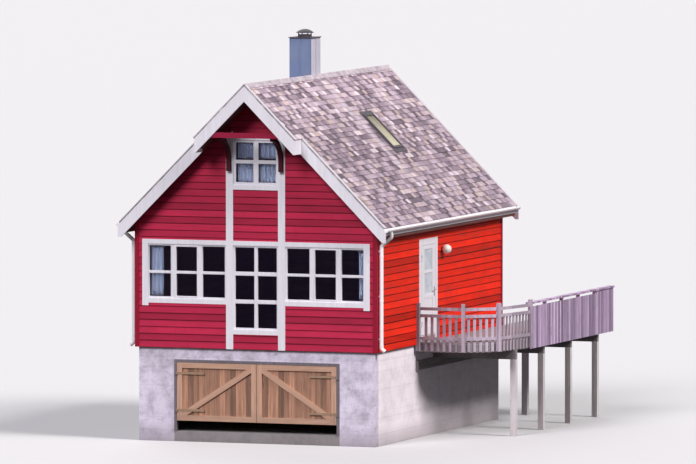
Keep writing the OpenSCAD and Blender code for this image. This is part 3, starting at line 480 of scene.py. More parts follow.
def grow(tree, name, values):
    """Runs a Geometry Nodes tree and returns the plain mesh that it makes."""
    carrier = new_object(name, bpy.data.meshes.new(name))
    modifier = carrier.modifiers.new("repeat", "NODES")
    modifier.node_group = tree
    for item in tree.interface.items_tree:
        if item.item_type == "SOCKET" and item.in_out == "INPUT" and item.name in values:
            modifier[item.identifier] = values[item.name]
    graph = bpy.context.evaluated_depsgraph_get()
    grown = carrier.evaluated_get(graph)
    mesh = bpy.data.meshes.new_from_object(grown, preserve_all_data_layers=True, depsgraph=graph)
    bpy.data.objects.remove(carrier)
    return mesh


def end_tree(result, instances, material):
    """Ends a Geometry Nodes tree with its instances made one mesh of one material."""
    whole = place("GeometryNodeRealizeInstances", {0: instances}).outputs[0]
    fill(result, {"Geometry": place("GeometryNodeSetMaterial", {"Geometry": whole, "Material": material}).outputs[0]})


# One shape again and again along a line, each stretched alike
set_in_line, given, result = new_group("set_in_line", "GeometryNodeTree", [
    ("Shape", "Object"), ("Count", "Int", 2), ("Step", "Vector"), ("Start", "Vector"), ("Stretch", "Vector"),
    ("Finish", "Material")], [("Geometry", "Geometry")])
starts = place("GeometryNodeMeshLine", {
    "Count": given["Count"], "Offset": given["Step"], "Start Location": given["Start"]}).outputs[0]
shape = place("GeometryNodeObjectInfo", {"Object": given["Shape"]}).outputs["Geometry"]
laid = place("GeometryNodeInstanceOnPoints", {
    "Points": starts, "Instance": shape, "Scale": given["Stretch"]}).outputs[0]
end_tree(result, laid, given["Finish"])


def in_line(shape, count, step, start, finish, stretch=(1.0, 1.0, 1.0)):
    """Returns a mesh of one shape set along a line."""
    return grow(set_in_line, shape.name, {
        "Shape": shape, "Count": count, "Step": step, "Start": start, "Stretch": stretch, "Finish": finish})


def cut_off(bm, planes):
    """Cuts away what lies outside planes given as (point, outward normal), and closes the cuts."""
    for point, normal in planes:
        parts = bm.verts[:] + bm.edges[:] + bm.faces[:]
        made = bmesh.ops.bisect_plane(bm, geom=parts, plane_co=point, plane_no=normal, clear_outer=True)
        edges = [e for e in made["geom_cut"] if isinstance(e, bmesh.types.BMEdge)]
        bmesh.ops.holes_fill(bm, edges=edges, sides=0)


def add_part(bm, mesh, shift, limits):
    """Adds a moved copy of a mesh, kept between a low and a high limit on some axes, to another in the making."""
    part = bmesh.new()
    part.from_mesh(mesh)
    bmesh.ops.translate(part, verts=part.verts, vec=shift)
    for axis, low, high in limits:
        way = Vector((axis == "X", axis == "Y", axis == "Z"))
        cut_off(part, [(way * low, -way), (way * high, way)])
    cut = mesh_of(part, "part")
    bm.from_mesh(cut)
    bpy.data.meshes.remove(cut)


lap_board = prism("lap_board", [(0, 0), (-butt + arris, 0), (-butt, arris), (-tip, course), (0, course)], 1.0)


def clad_wall(name, spans, origin, turn, paint, planes=()):
    """Clads stretches of a wall, each given by its two ends along the wall and its two heights."""
    bm = bmesh.new()
    for x0, x1, z0, z1 in spans:
        first = math.floor((z0 - cladding_foot) / course + 1e-6)
        count = math.ceil((z1 - cladding_foot) / course - 1e-6) - first
        boards = in_line(lap_board, count, (0.0, 0.0, course), (0.0, 0.0, 0.0), paint, (x1 - x0, 1.0, 1.0))
        add_part(bm, boards, (x0, 0, cladding_foot + first * course), [("Z", z0, z1)])
        bpy.data.meshes.remove(boards)
    bmesh.ops.transform(bm, verts=bm.verts, matrix=Matrix.Translation(origin) @ Matrix.Rotation(turn, 4, "Z"))
    cut_off(bm, planes)
    return finish_bmesh(bm, name, paint)


corner_in = 2.65
upright_in, upright_out = 0.51, 0.67
end_trim_in, band_end = 2.44, 2.58
middle_low_z, horn_z = 2.32, 2.89
band_low_z, band_high_z = 2.95, 4.31
gable_low_z, gable_high_z = 5.40, 6.56
peak_half = 1.0
tie_top_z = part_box("front_trims")[1].z
roof_planes = [(Vector((0, 0, under_ridge_z)), Vector((side, 0, 1)).normalized()) for side in (1, -1)]
front_spans = [(-upright_in, upright_in, z0, z1) for z0, z1 in (
    (cladding_foot, middle_low_z), (band_high_z, gable_low_z), (gable_high_z, tie_top_z))]
front_spans.append((-peak_half, peak_half, tie_top_z, under_ridge_z))
for side in (-1, 1):
    for a, b, z0, z1 in ((upright_out, end_trim_in, cladding_foot, band_low_z),
                         (end_trim_in, band_end, cladding_foot, horn_z),
                         (band_end, corner_in, cladding_foot, band_high_z),
                         (upright_out, corner_in, band_high_z, tie_top_z)):
        front_spans.append((*sorted((side * a, side * b)), z0, z1))
clad_wall("front_cladding", front_spans, (0, front_face, 0), 0, shaded_red_copy, roof_planes)
clad_wall("back_cladding", [(-corner_in, corner_in, cladding_foot, under_ridge_z)], (0, back_face, 0), math.pi,
          shaded_red_copy, roof_planes)
corner_y = 3.9
clad_wall("left_cladding", [(-corner_y, corner_y, cladding_foot, eave_z)], (-face_half, 0, 0), -math.pi / 2, shaded_red_copy)
door_low_y, door_high_y = -1.375, -0.215
door_top_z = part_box("side_door_frame")[1].z
side_spans = [(-corner_y, door_low_y, cladding_foot, eave_z), (door_high_y, corner_y, cladding_foot, eave_z),
              (door_low_y, door_high_y, door_top_z, eave_z)]
clad_wall("right_cladding", side_spans, (face_half, 0, 0), math.pi / 2, sunlit_red_copy)
bpy.data.objects.remove(lap_board)


# Corner boards and window boards
# Planed boards nailed over the ends of the cladding: red at the corners, white round the
# windows, where two tall uprights run from the concrete up to the hood.
def paint_finish(name, colour, stain, grain, roughness=0.45, amount=0.4, shine=0.5):
    """Gloss paint on planed timber, with rain marks and the grain just showing."""
    material, shader, here = new_material(name, {"Roughness": roughness, "Specular IOR Level": shine})
    wood = timber_run(here, grain, 0.5, (1, 1, 1), (0.86, 0.86, 0.86), 0.05)
    plain = blended(1.0, colour, wood["Color"], "MULTIPLY")
    fill(shader, {"Base Color": weathered(here, plain, stain, amount, 2.2), "Normal": bumped(wood["Height"], 0.0006)})
    return material


white_paint = paint_finish("white_paint", (0.90, 0.88, 0.94), (0.66, 0.63, 0.67), "z", amount=0.25)
red_gloss = paint_finish("red_gloss", (0.34, 0.010, 0.036), (0.20, 0.008, 0.020), "z", 0.6, shine=0.15)
dress(red_gloss, "corner_boards")
dress(white_paint, "front_trims", "band_windows", "middle_window", "gable_window", "side_door_frame", "side_door")


# Windows
# White frames with fixed lights and one opening light a side in the band, each crossed by a
# level bar. The panes are plain glass. Pale curtains hang at the band's ends and in the gable.
glass, shader, here = new_material("window_glass", {
    "Base Color": (0.74, 0.80, 0.92), "Roughness": 0.03, "Transmission Weight": 1.0, "IOR": 1.35,
    "Specular Tint": (0.70, 0.45, 1.0)})
fill(shader, {"Normal": bumped(speckle(here, 2.0, detail=1), 0.004)})
dress(glass, "window_glass")

pane_face = front_face + 0.038
bar_y = pane_face - 0.034
sill_z, head_z = 3.05, 4.21
frame_w = 0.025
bar_mid_z, bar_half = 3.61, 0.030


def chamfered_box(bm, low, high, chamfer=0.006):
    """Adds a box with its front edges planed off."""
    (x0, y0, z0), (x1, y1, z1) = low, high
    skin(bm, [[(x0 + c, y, z0 + c), (x1 - c, y, z0 + c), (x1 - c, y, z1 - c), (x0 + c, y, z1 - c)]
              for y, c in ((y1, 0), (y0 + chamfer, 0), (y0, chamfer))])


def sash(bm, x0, x1, z0, z1, stile, proud, rails):
    """Adds a sash that may stand proud of the bars, and level bars, each between two heights."""
    y0, a, b = bar_y - proud, x0 + stile, x1 - stile
    members = [(x0, a, y0, z0, z1), (b, x1, y0, z0, z1), (a, b, y0, z0, z0 + stile), (a, b, y0, z1 - stile, z1)]
    for left, right, front, low, high in members + [(a, b, bar_y, low, high) for low, high in rails]:
        chamfered_box(bm, (left, front, low), (right, pane_face, high))


# Each light of the band from the middle outwards: two edges, the stile's width, how far it stands proud
band_lights = ((0.695, 1.225, 0.014, 0), (1.31, 1.84, 0.030, 0.012), (1.925, 2.44, 0.014, 0))
# The middle and the gable window: two heights, the stile's width, and the heights of each level bar
tall_light_edges = ((-0.485, -0.025), (0.025, 0.485))
tall_lights = ((2.445, 4.185, 0.015, ((2.975, 3.06), (3.57, 3.655))), (5.525, 6.435, 0.032, ((5.955, 6.035),)))
bars = bmesh.new()
for side in (-1, 1):
    for a, b, stile, proud in band_lights:
        sash(bars, *sorted((side * a, side * b)), sill_z + frame_w, head_z - frame_w, stile, proud,
             [(bar_mid_z - bar_half, bar_mid_z + bar_half)])
for x0, x1 in tall_light_edges:
    for z0, z1, stile, rails in tall_lights:
        sash(bars, x0, x1, z0, z1, stile, 0, rails)
finish_bmesh(bars, "window_bars", white_paint)

curtain_cloth, shader, here = new_material("curtain_cloth", {"Roughness": 0.9})
threads = times(speckle(here, 900.0, (1, 1, 0.05), 1), speckle(here, 900.0, (0.05, 1, 1), 1))
folds = speckle(here, 8.0, (6, 1, 0.3), 2)
lower_cloth = blended(folds, (0.74, 0.76, 0.88), (0.94, 0.95, 1.0))
# The upper gable curtain is a little bluer and darker: painted shade under the hood
upper_cloth_painted_shade = blended(folds, (0.74, 0.76, 0.92), (0.92, 0.94, 1.0))
upper = ramp_between(axes_of(here)["Z"], 6.02, 6.04)
fill(shader, {"Base Color": blended(upper, lower_cloth, upper_cloth_painted_shade), "Normal": bumped(threads, 0.0008)})

curtain_y = -3.865
folds_per_m, fold_depth = 11, 0.020
steps_per_m, rows = 160, 8
cloth_thick = 0.0015
rod_radius, rod_end, rod_rise = 0.008, 0.03, 0.002


def curtain(name, x0, x1, z0, z1):
    """A gathered curtain on a rod, drawn as an even wave that flares a little towards its hem."""
    columns = int((x1 - x0) * steps_per_m)
    bm = bmesh.new()
    grid = []
    for j in range(rows + 1):
        t = j / rows
        grid.append([])
        for i in range(columns + 1):
            x = x0 + (x1 - x0) * i / columns
            wave = math.sin(2 * math.pi * folds_per_m * (x - x0) + 0.5 * math.sin(3.1 * t + i * 0.02))
            y = curtain_y + fold_depth * (0.75 + 0.35 * t) * wave
            grid[j].append(bm.verts.new((x + 0.004 * t * math.sin(17 * x), y, z1 + (z0 - z1) * t)))
    area = 0.0
    for j in range(rows):
        for i in range(columns):
            face = bm.faces.new((grid[j][i], grid[j + 1][i], grid[j + 1][i + 1], grid[j][i + 1]))
            area += face.calc_area()
            face.smooth = True
    piece = finish_bmesh(bm, name, curtain_cloth)
    thick = piece.modifiers.new("cloth", "SOLIDIFY")
    thick.thickness = cloth_thick
    thick.offset = 0
    rod = bmesh.new()
    middle = Matrix.Translation(((x0 + x1) / 2, curtain_y, z1 + rod_rise))
    bmesh.ops.create_cone(rod, cap_ends=True, segments=12, radius1=rod_radius, radius2=rod_radius,
                          depth=x1 - x0 + 2 * rod_end, matrix=middle @ Matrix.Rotation(math.pi / 2, 4, "Y"))
    holder = finish_bmesh(rod, name + "_rod", white_paint)


curtain("band_curtain_left", -2.42, -2.14, 3.10, 4.14)
curtain("band_curtain_right", 2.29, 2.42, 3.10, 4.14)
curtain("gable_curtain", -0.45, 0.45, 5.55, 6.01)
curtain("gable_upper_curtain", -0.45, 0.45, 6.06, 6.41)


# Entrance door and lamp
# A white boarded door with two panes over a sunk panel, a steel lever, and a round opal globe
# on the wall beside it.
low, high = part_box("side_door_glass")
pane_mid_z, pane_bar_half = (low.z + high.z) / 2, 0.03
bead_w, bead_thick = 0.02, 0.012
strips = [(low.y, high.y, pane_mid_z - pane_bar_half, pane_mid_z + pane_bar_half)]
for z0, z1 in ((low.z, pane_mid_z - pane_bar_half), (pane_mid_z + pane_bar_half, high.z)):
    strips += [(low.y, low.y + bead_w, z0, z1), (high.y - bead_w, high.y, z0, z1)]
door_bars = bmesh.new()
for x0, x1 in ((high.x, high.x + bead_thick), (low.x - bead_thick, low.x)):
    for y0, y1, z0, z1 in strips:
        middle = Matrix.Translation(((x0 + x1) / 2, (y0 + y1) / 2, (z0 + z1) / 2))
        bmesh.ops.create_cube(door_bars, size=1.0, matrix=middle @ Matrix.Diagonal((x1 - x0, y1 - y0, z1 - z0, 1)))
finish_bmesh(door_bars, "side_door_bars", white_paint, "side_door")

clouded_glass, shader, here = new_material("clouded_glass", {"Roughness": 0.22})
clouds = ramp_between(speckle(here, 5.0, detail=3), 0.3, 0.7)
fill(shader, {"Base Color": blended(clouds, (0.52, 0.60, 0.67), (0.76, 0.81, 0.86)),
              "Normal": bumped(speckle(here, 90.0, detail=2), 0.002)})
dress(clouded_glass, "side_door_glass")

door_steel, shader, here = new_material("door_steel", {"Metallic": 1.0})
brushed = speckle(here, 200.0, (1, 0.02, 1), 2)
fill(shader, {"Base Color": blended(brushed, (0.42, 0.42, 0.43), (0.66, 0.66, 0.67)),
              "Roughness": ramp_between(brushed, 0.3, 0.7, 0.22, 0.38)})
dress(door_steel, "side_door_handle")

opal, shader, here = new_material("opal_globe", {"Roughness": 0.18})
haze_and_painted_reflection = ramp_between(speckle(here, 20.0, detail=3), 0.3, 0.8, 0.0, 0.25)
globe = blended(haze_and_painted_reflection, (0.98, 0.94, 0.86), (0.80, 0.76, 0.68))
foot_thick = 0.031
lamp_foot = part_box("wall_lamp")[0].x + foot_thick
on_foot = maths("LESS_THAN", axes_of(here)["X"], lamp_foot)
fill(shader, {"Base Color": blended(on_foot, globe, (0.05, 0.05, 0.05))})
dress(opal, "wall_lamp")


# Slate roof
# Slates nailed in courses on a boarded roof, thick and uneven, grey with violet and brown
# ones among them. Moss and run-off mark them. Boards and rafters show dark under the eaves.
roof_board = 0.12
soffit = timber_finish("soffit", (0.16, 0.05, 0.045), (0.07, 0.025, 0.02), "y", roof_board, variation=0.3)
dress(soffit, "roof_left", "roof_right")

slate_rock, shader, here = new_material("slate", {"Roughness": 0.8})
shade = place("ShaderNodeAttribute", {}, shader.id_data, attribute_name="slate_shade").outputs["Fac"]
tones = place("ShaderNodeValToRGB", {0: shade})
slate_tones = ((0.0, (0.095, 0.068, 0.092)), (0.22, (0.19, 0.142, 0.18)), (0.5, (0.32, 0.245, 0.30)),
               (0.76, (0.47, 0.375, 0.445)), (0.88, (0.43, 0.325, 0.30)), (1.0, (0.66, 0.57, 0.64)))
stops = tones.color_ramp.elements
for position, colour in slate_tones[1:-1]:
    stops.new(position)
for stop, (position, colour) in zip(stops, slate_tones):
    stop.color = (*colour, 1)
axes = axes_of(here)
rock_grain = speckle(here, 26.0, detail=8, roughness=0.7)
bleached = ramp_between(times_plus(speckle(here, 1.1, detail=4), 1.5, axes["Z"]), 7.2, 8.2, 1.0, 1.24)
rock = toned(tones.outputs[0], times(ramp_between(rock_grain, 0.25, 0.75, 0.68, 1.32), bleached))
lichen = ramp_between(speckle(here, 14.0, detail=5), 0.60, 0.68)
rock = blended(times(lichen, 0.5), rock, (0.50, 0.45, 0.46))
moss = ramp_between(speckle(here, 3.2, detail=7), 0.58, 0.72)
rock = blended(times(moss, 0.35), rock, (0.19, 0.16, 0.12))
wander = times_plus(speckle(here, 1.5, detail=3), 0.5, axes["Y"])
off_run = times_plus(speckle(here, 2.2, detail=4), 0.22, maths("ABSOLUTE", maths("ADD", wander, -0.05)))
down_slope = times(ramp_between(axes["X"], 0.05, 0.15), ramp_between(axes["X"], 2.9, 1.8))
run_off = times(ramp_between(off_run, 0.28, 0.16), down_slope)
rock = blended(times(run_off, 0.6), rock, (0.62, 0.55, 0.61))
fill(shader, {"Base Color": rock, "Normal": bumped(rock_grain, 0.006)})

ridge_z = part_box("roof_right")[1].z
slope_v = 4.222
slate_rows = 32
exposure = slope_v / slate_rows
slate_w, slate_gap, slate_lap, slate_corner = 0.17, 0.0025, 0.03, 0.014
slate_head, slate_butt, slate_nose, nose_y = 0.004, 0.019, 0.004, 0.01
hood_reach = 1.135 * math.sqrt(2)
front_verge_y, back_verge_y = [corner.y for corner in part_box("bargeboards")]
hood_front_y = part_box("hood_bargeboards")[0].y

half_w = slate_w / 2 - slate_gap
outline = [(-slate_lap, -half_w), (exposure - slate_corner, -half_w), (exposure, -half_w + slate_corner),
           (exposure + slate_nose, nose_y), (exposure, half_w - slate_corner), (exposure - slate_corner, half_w),
           (-slate_lap, half_w)]
upper_face = [(x, y, slate_head + (slate_butt - slate_head) * max(x, 0) / exposure) for x, y in outline]
one_slate = solid("one_slate", [[(x, y, 0.0) for x, y in outline], upper_face])

# Slates: rows down the slope, each half a slate on from the last, with small slips and turns
slate_courses, given, result = new_group("slate_courses", "GeometryNodeTree", [
    ("Slate", "Object"), ("Rows", "Int", 10), ("Columns", "Int", 10), ("Exposure", "Float", 0.2),
    ("Width", "Float", 0.2), ("Seed", "Int", 1), ("Rock", "Material")], [("Geometry", "Geometry")])
points = place("GeometryNodePoints", {"Count": times(given["Rows"], given["Columns"])}).outputs[0]
index = place("GeometryNodeInputIndex", {}, slate_courses).outputs[0]
row = maths("FLOOR", maths("DIVIDE", maths("ADD", index, 0.5), given["Columns"]))
column = minus(index, times(row, given["Columns"]))
half_step = maths("FRACT", times(row, 0.5))


def random_value(low, high, number):
    """Gives each slate a value between two others, or a vector of them."""
    vector = isinstance(low, tuple)
    first, made = (0, 0) if vector else (2, 1)
    seed = maths("ADD", given["Seed"], number)
    node = place("FunctionNodeRandomValue", {first: low, first + 1: high, "Seed": seed},
                 data_type="FLOAT_VECTOR" if vector else "FLOAT")
    return node.outputs[made]


across = times(maths("ADD", column, half_step), given["Width"])
down = maths("ADD", times(row, given["Exposure"]), random_value(-0.004, 0.004, 1))
spot = place("ShaderNodeCombineXYZ", {0: down, 1: across}).outputs[0]
set_out = place("GeometryNodeSetPosition", {"Geometry": points, "Position": spot}).outputs[0]
laid = place("GeometryNodeInstanceOnPoints", {
    "Points": set_out, "Instance": place("GeometryNodeObjectInfo", {"Object": given["Slate"]}).outputs["Geometry"],
    "Rotation": random_value((0, -0.006, -0.012), (0, 0.006, 0.012), 2),
    "Scale": random_value((1, 1, 0.75), (1, 1, 1.3), 3)}).outputs[0]
marked = place("GeometryNodeStoreNamedAttribute", {
    "Geometry": laid, "Name": "slate_shade", "Value": random_value(0.0, 1.0, 4)},
    data_type="FLOAT", domain="INSTANCE").outputs[0]
end_tree(result, marked, given["Rock"])

first_y, left_shift = -4.9, 0.45
columns = math.ceil((back_verge_y - first_y) / slate_w) + 2
top_v, foot_v = 0.02, slope_v + 0.01


def slate_slope(name, side, y0, y1, v0, v1):
    """Slates one slope round an opening, given by its ends along the roof and its distances down the slope."""
    sheet = grow(slate_courses, name, {
        "Slate": one_slate, "Rows": slate_rows, "Columns": columns, "Exposure": exposure, "Width": slate_w,
        "Seed": 11 + side, "Rock": slate_rock})
    start = first_y if side > 0 else first_y + left_shift
    bm = bmesh.new()
    for a, b, upper, lower in ((hood_front_y, front_verge_y, top_v, hood_reach), (front_verge_y, y0, top_v, foot_v),
                               (y1, back_verge_y, top_v, foot_v), (y0, y1, top_v, v0), (y0, y1, v1, foot_v)):
        add_part(bm, sheet, (0, start, 0), [("Y", *sorted((side * a, side * b))), ("X", upper, lower)])
    bpy.data.meshes.remove(sheet)
    bmesh.ops.transform(bm, verts=bm.verts, matrix=Matrix((
        (side * math.sqrt(0.5), 0, side * math.sqrt(0.5), 0), (0, side, 0, 0),
        (-math.sqrt(0.5), 0, math.sqrt(0.5), ridge_z), (0, 0, 0, 1))))
    finish_bmesh(bm, name, slate_rock)


window_y0, window_y1, window_v0, window_v1 = 0.25, 0.85, 1.20, 2.21
slate_slope("slates_right", 1, window_y0, window_y1, window_v0, window_v1)
stack_low, stack_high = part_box("chimney")
stack_v0, stack_v1 = -stack_high.x * math.sqrt(2), -stack_low.x * math.sqrt(2)
slate_slope("slates_left", -1, stack_low.y, stack_high.y, stack_v0, stack_v1)
bpy.data.objects.remove(one_slate)


# Ridge and verge boards
# A folded sheet covers the ridge. White boards laid over the slates' ends keep the wind from
# lifting them, along the hood and along both verges.
def on_slope(side, v, w):
    """The x and z of a point by its distance down a slope and out of it."""
    return side * (v + w) * math.sqrt(0.5), ridge_z + (w - v) * math.sqrt(0.5)


def along_y(bm, outline, y0, y1):
    """Adds a closed bar with an outline of (x, z) from one y to another."""
    skin(bm, [[(x, y, z) for x, z in outline] for y in (y1, y0)])


def strip_on_slope(bm, side, y0, y1, v0, v1, w0, w1):
    """Adds a flat strip by its reach along the roof, down a slope and out of it."""
    along_y(bm, [on_slope(side, v, w) for v, w in ((v0, w0), (v0, w1), (v1, w1), (v1, w0))], y0, y1)


dark_metal, shader, here = new_material("dark_metal", {"Metallic": 0.2, "Specular IOR Level": 0.3})
mottle = speckle(here, 12.0, detail=6)
fill(shader, {"Base Color": blended(mottle, (0.035, 0.026, 0.036), (0.10, 0.085, 0.105)),
              "Roughness": ramp_between(mottle, 0.3, 0.7, 0.4, 0.6)})

sheet_low, sheet_high = 0.020, 0.026
ridge_reach, fold_v, fold_rise, roll_rise, end_clear = 0.09, 0.02, 0.004, 0.05, 0.001
half_fold = [(ridge_reach, sheet_low), (ridge_reach, sheet_high), (fold_v, sheet_high + fold_rise)]
outline = ([on_slope(1, v, w) for v, w in half_fold] + [(0.0, ridge_z + roll_rise)]
           + [on_slope(-1, v, w) for v, w in reversed(half_fold)] + [(0.0, ridge_z + sheet_low * math.sqrt(2))])
ridge_bm = bmesh.new()
along_y(ridge_bm, outline, hood_front_y + end_clear, back_verge_y - end_clear)
ridge_metal, shader, here = new_material("ridge_metal", {"Roughness": 0.6})
mottle = speckle(here, 7.0, detail=8, roughness=0.7)
fill(shader, {"Base Color": blended(ramp_between(mottle, 0.35, 0.65), (0.30, 0.25, 0.28), (0.64, 0.56, 0.62)),
              "Normal": bumped(mottle, 0.003)})
ridge_sheet = finish_bmesh(ridge_bm, "ridge_sheet", ridge_metal)
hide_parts("ridge_cap")

verge_w, verge_low, verge_high, verge_proud = 0.09, 0.019, 0.039, 0.006
verge_bm = bmesh.new()
for side in (-1, 1):
    for y0, v0, v1 in ((hood_front_y, 0.0, hood_reach), (front_verge_y - verge_proud, hood_reach, slope_v),
                       (back_verge_y - verge_w + verge_proud, 0.0, slope_v)):
        strip_on_slope(verge_bm, side, y0, y0 + verge_w, v0, v1, verge_low, verge_high)
verge_paint = paint_finish("verge_paint", (0.68, 0.65, 0.69), (0.44, 0.41, 0.43), "y")
finish_bmesh(verge_bm, "verge_boards", verge_paint)


# Bargeboards, hood and eaves
# White boards close the roof's ends. Under the hood a dark red tie beam rides on two arms
# with curved knees, made near-black below the beam as painted shade. White fascias carry white gutters, with a pipe
# down each front corner.
dress(white_paint, "bargeboards", "hood_bargeboards", "eave_fascias")

red_timber, shader, here = new_material("red_timber", {"Roughness": 0.55, "Specular IOR Level": 0.15})
tie_beam_h = 0.111
tie_low_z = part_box("hood_frame")[1].z - tie_beam_h
# Below the tie beam the arms and knees are near-black: painted shade under the hood
above = ramp_between(axes_of(here)["Z"], tie_low_z - 0.002, tie_low_z)
tie_coat_knee_shade = blended(above, (0.055, 0.006, 0.012), (0.31, 0.013, 0.048))
fill(shader, {"Base Color": weathered(here, tie_coat_knee_shade, (0.12, 0.01, 0.014), 0.4, 2.2),
              "Normal": bumped(speckle(here, 30.0, (0.15, 1, 4.0), detail=3), 0.001)})
dress(red_timber, "hood_frame")

white_metal, shader, here = new_material("white_metal", {"Roughness": 0.35})
fill(shader, {"Base Color": weathered(here, (0.93, 0.90, 0.92), (0.68, 0.65, 0.66), 0.35, 3.0)})
dress(white_metal, "gutters", "downpipes")

gutter_x, gutter_z, gutter_r = 3.033, 4.6276, 0.058
strap_thick, strap_w = 0.004, 0.025
first_strap_y, strap_pitch, straps = -4.06, 0.62, 14
arc = [math.radians(angle) for angle in range(180, 316, 15)]
for side, name in ((1, "gutter_brackets_right"), (-1, "gutter_brackets_left")):
    inner, outer = [[(side * r * math.cos(a), r * math.sin(a)) for a in arc]
                    for r in (gutter_r, gutter_r + strap_thick)]
    bracket = solid("bracket", [[(x, y, z) for x, z in inner + outer[::-1]] for y in (strap_w, 0.0)])
    start = (side * gutter_x, first_strap_y, gutter_z)
    row_bm = bmesh.new()
    row_bm.from_mesh(in_line(bracket, straps, (0.0, strap_pitch, 0.0), start, white_metal))
    bpy.data.objects.remove(bracket)
    finish_bmesh(row_bm, name, white_metal)

pipe_x, pipe_y = 2.812, -3.9
collar_r, collar_h = 0.0435, 0.045
collar_heights = (2.15, 3.1, 4.05)
collars = bmesh.new()
for side in (-1, 1):
    for z in collar_heights:
        bmesh.ops.create_cone(collars, cap_ends=True, segments=32, radius1=collar_r, radius2=collar_r, depth=collar_h,
                              matrix=Matrix.Translation((side * pipe_x, pipe_y, z)))
finish_bmesh(collars, "pipe_collars", white_metal)


# Chimney and skylight
# The stack is boxed in blue-grey sheet with folded seams, with a dark plate, flue and rain
# cover on top. A dark-framed roof window lies in the right slope. Metal aprons seal both.
chimney_sheet, shader, here = new_material("chimney_sheet", {"Roughness": 0.42, "Metallic": 0.15})
# The face towards the deck side is pale grey-lilac instead of blue: painted sunlight
sunlit_face_mask = ramp_between(axes_of(here)["X"], stack_high.x - 0.005, stack_high.x - 0.0015)
sheet = blended(sunlit_face_mask, (0.18, 0.24, 0.41), (0.68, 0.66, 0.76))
fill(shader, {"Base Color": weathered(here, sheet, (0.34, 0.37, 0.45), 0.4, 3.0),
              "Normal": bumped(speckle(here, 5.0, detail=2), 0.004)})
dress(chimney_sheet, "chimney")
dress(dark_metal, "chimney_cap", "skylight_frame")

# An opaque sheet over the roof window's glass, dark near the ridge and pale down the slope: painted sky reflection
pale_pane, shader, here = new_material("pale_pane", {"Roughness": 0.2, "Specular IOR Level": 0.2})
haze_and_painted_reflection = ramp_between(times_plus(speckle(here, 5.0, detail=4), 0.5, axes_of(here)["X"]), 1.1, 1.8)
fill(shader, {"Base Color": blended(haze_and_painted_reflection, (0.14, 0.115, 0.07), (0.56, 0.53, 0.36))})
sash_w, pane_low, pane_high = 0.061, 0.0205, 0.024
pane_bm = bmesh.new()
strip_on_slope(pane_bm, 1, window_y0 + sash_w, window_y1 - sash_w, window_v0 + sash_w, window_v1 - sash_w,
               pane_low, pane_high)
finish_bmesh(pane_bm, "skylight_pane", pale_pane)

seam_half, seam_proud, seam_lift = 0.009, 0.014, 0.01
seams = bmesh.new()
for x in (stack_low.x, (stack_low.x + stack_high.x) / 2, stack_high.x):
    for y, out in ((stack_low.y, -seam_proud), (stack_high.y, seam_proud)):
        chamfered_box(seams, (x - seam_half, min(y, y + out), ridge_z + x + seam_lift),
                      (x + seam_half, max(y, y + out), stack_high.z))
for x, out in ((stack_low.x, -seam_proud), (stack_high.x, seam_proud)):
    chamfered_box(seams, (min(x, x + out), -seam_half, ridge_z + x + seam_lift),
                  (max(x, x + out), seam_half, stack_high.z))
finish_bmesh(seams, "chimney_seams", chimney_sheet)

stack_edge, stack_above, stack_below = 0.12, 0.02, 0.18
window_edge, window_above, window_below = 0.07, 0.08, 0.12
aprons = bmesh.new()
for side, y0, y1, v0, v1 in (
        (-1, stack_low.y - stack_edge, stack_high.y + stack_edge, stack_v1, stack_v1 + stack_below),
        (-1, stack_low.y - stack_edge, stack_low.y, stack_v0 - stack_above, stack_v1),
        (-1, stack_high.y, stack_high.y + stack_edge, stack_v0 - stack_above, stack_v1),
        (1, window_y0 - window_edge, window_y1 + window_edge, window_v0 - window_above, window_v0),
        (1, window_y0 - window_edge, window_y1 + window_edge, window_v1, window_v1 + window_below),
        (1, window_y0 - window_edge, window_y0, window_v0, window_v1),
        (1, window_y1, window_y1 + window_edge, window_v0, window_v1)):
    strip_on_slope(aprons, side, y0, y1, v0, v1, sheet_low, sheet_high)
finish_bmesh(aprons, "roof_aprons", dark_metal)


# Deck
# Weathered pine: posts, cross beams, joists and a rim, with planed boards laid across the
# joists with a gap between them for the rain.
# The posts are silver-grey weathered pine, made paler than the other deck timber as painted sunlight
grey_upright = timber_finish("grey_upright", (0.80, 0.75, 0.77), (0.52, 0.465, 0.485), "z", 0.3,
                             variation=0.2, roughness=0.8, stain=(0.24, 0.21, 0.20), amount=0.35)
dress(grey_upright, "deck_posts")
grey_frame_wood = timber_finish("grey_frame_wood", (0.33, 0.29, 0.30), (0.17, 0.15, 0.155), "y", 0.3,
                                variation=0.2, roughness=0.8, stain=(0.10, 0.09, 0.09))
dress(grey_frame_wood, "deck_bearers", "deck_joists")

low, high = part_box("deck_floor")
deck_top = high.z
board_w, board_gap, arris = 0.120, 0.006, 0.003
count = math.floor((high.y - low.y + board_gap) / (board_w + board_gap))
pitch = (high.y - low.y - hair + board_gap) / count
wide = pitch - board_gap
grey_boards = timber_finish("grey_boards", (0.44, 0.39, 0.41), (0.25, 0.215, 0.23), "x", pitch, variation=0.35,
                            roughness=0.8, stain=(0.15, 0.13, 0.125), first=low.y)
deck_board = prism("deck_board", [(0, low.z), (wide, low.z), (wide, high.z - arris), (wide - arris, high.z),
                                  (arris, high.z), (0, high.z - arris)], high.x - low.x)
deck_bm = bmesh.new()
deck_bm.from_mesh(in_line(deck_board, count, (0.0, pitch, 0.0), (low.x, low.y, 0.0), grey_boards))
bpy.data.objects.remove(deck_board)
rail_line = [Vector((3.790, -1.5, 0)), Vector((4.4105, -0.9793, 0)), Vector((4.6662, 0.3361, 0))]
rim_back = 0.04
for a, b in zip(rail_line, rail_line[1:]):
    run = (b - a).normalized()
    outward = Vector((run.y, -run.x, 0))
    cut_off(deck_bm, [(a - outward * rim_back, outward)])
deck_boards = finish_bmesh(deck_bm, "deck_boards", grey_boards)
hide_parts("deck_floor")


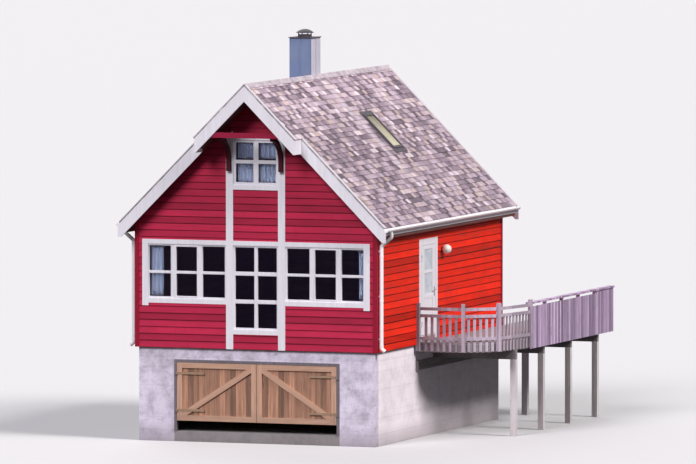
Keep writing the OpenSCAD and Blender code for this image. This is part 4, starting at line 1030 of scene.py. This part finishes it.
# Railing and screen
# Square posts and flat balusters with three level rails round the faceted corner, then a
# screen of upright boards with a wide handrail over a small gap, all gone silver and mauve.
baluster_pitch = 0.137
rail_wood = timber_finish("rail_wood", (0.60, 0.51, 0.61), (0.33, 0.265, 0.345), "z", baluster_pitch,
                          variation=0.5, roughness=0.8, stain=(0.20, 0.165, 0.18), amount=0.3)
dress(rail_wood, "deck_rail_front", "deck_rail_slant", "deck_rail_side")

low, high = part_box("deck_screen")
screen_x0, screen_x1 = 4.6262, 4.6482
screen_start, screen_mid, screen_y1 = 0.3361, 4.7861, high.y - hair
screen_y0 = screen_start + 0.04
board_w, board_gap = 0.098, 0.004
handrail_thick, rail_h, rail_thick, rail_heights = 0.04, 0.07, 0.03, (0.12, 0.56)
post_w, bays = 0.07, 5
low_top, high_top = 0.685, 0.745
screen_pitch = (screen_mid - screen_y0) / round((screen_mid - screen_y0) / (board_w + board_gap))
screen_wood = timber_finish("screen_wood", (0.60, 0.455, 0.66), (0.275, 0.195, 0.315), "z_side", screen_pitch,
                            variation=1.1, roughness=0.8, stain=(0.19, 0.15, 0.19), amount=0.35, first=screen_y0)
screen = bmesh.new()
for y0, y1, top in ((screen_y0, screen_mid, deck_top + low_top), (screen_mid, screen_y1, deck_top + high_top)):
    count = round((y1 - y0) / (board_w + board_gap))
    pitch = (y1 - y0) / count
    edge = pitch - board_gap - arris
    board = prism("screen_board", [(arris, low.z), (edge, low.z), (edge, top), (arris, top)], screen_x1 - screen_x0)
    screen.from_mesh(in_line(board, count, (0.0, pitch, 0.0), (screen_x0, y0, 0.0), screen_wood))
    bpy.data.objects.remove(board)
chamfered_box(screen, (low.x, low.y, high.z - handrail_thick), (high.x, high.y, high.z))
for number in range(1, bays + 1):
    y = screen_start + (screen_y1 - screen_start - post_w) * number / bays
    chamfered_box(screen, (low.x, y, deck_top), (low.x + post_w, y + post_w, high.z - handrail_thick))
for rail_z in rail_heights:
    z = deck_top + rail_z
    chamfered_box(screen, (screen_x0 - rail_thick, screen_y0, z), (screen_x0, screen_y1, z + rail_h))
deck_screen = finish_bmesh(screen, "screen_boards", screen_wood)
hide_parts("deck_screen")
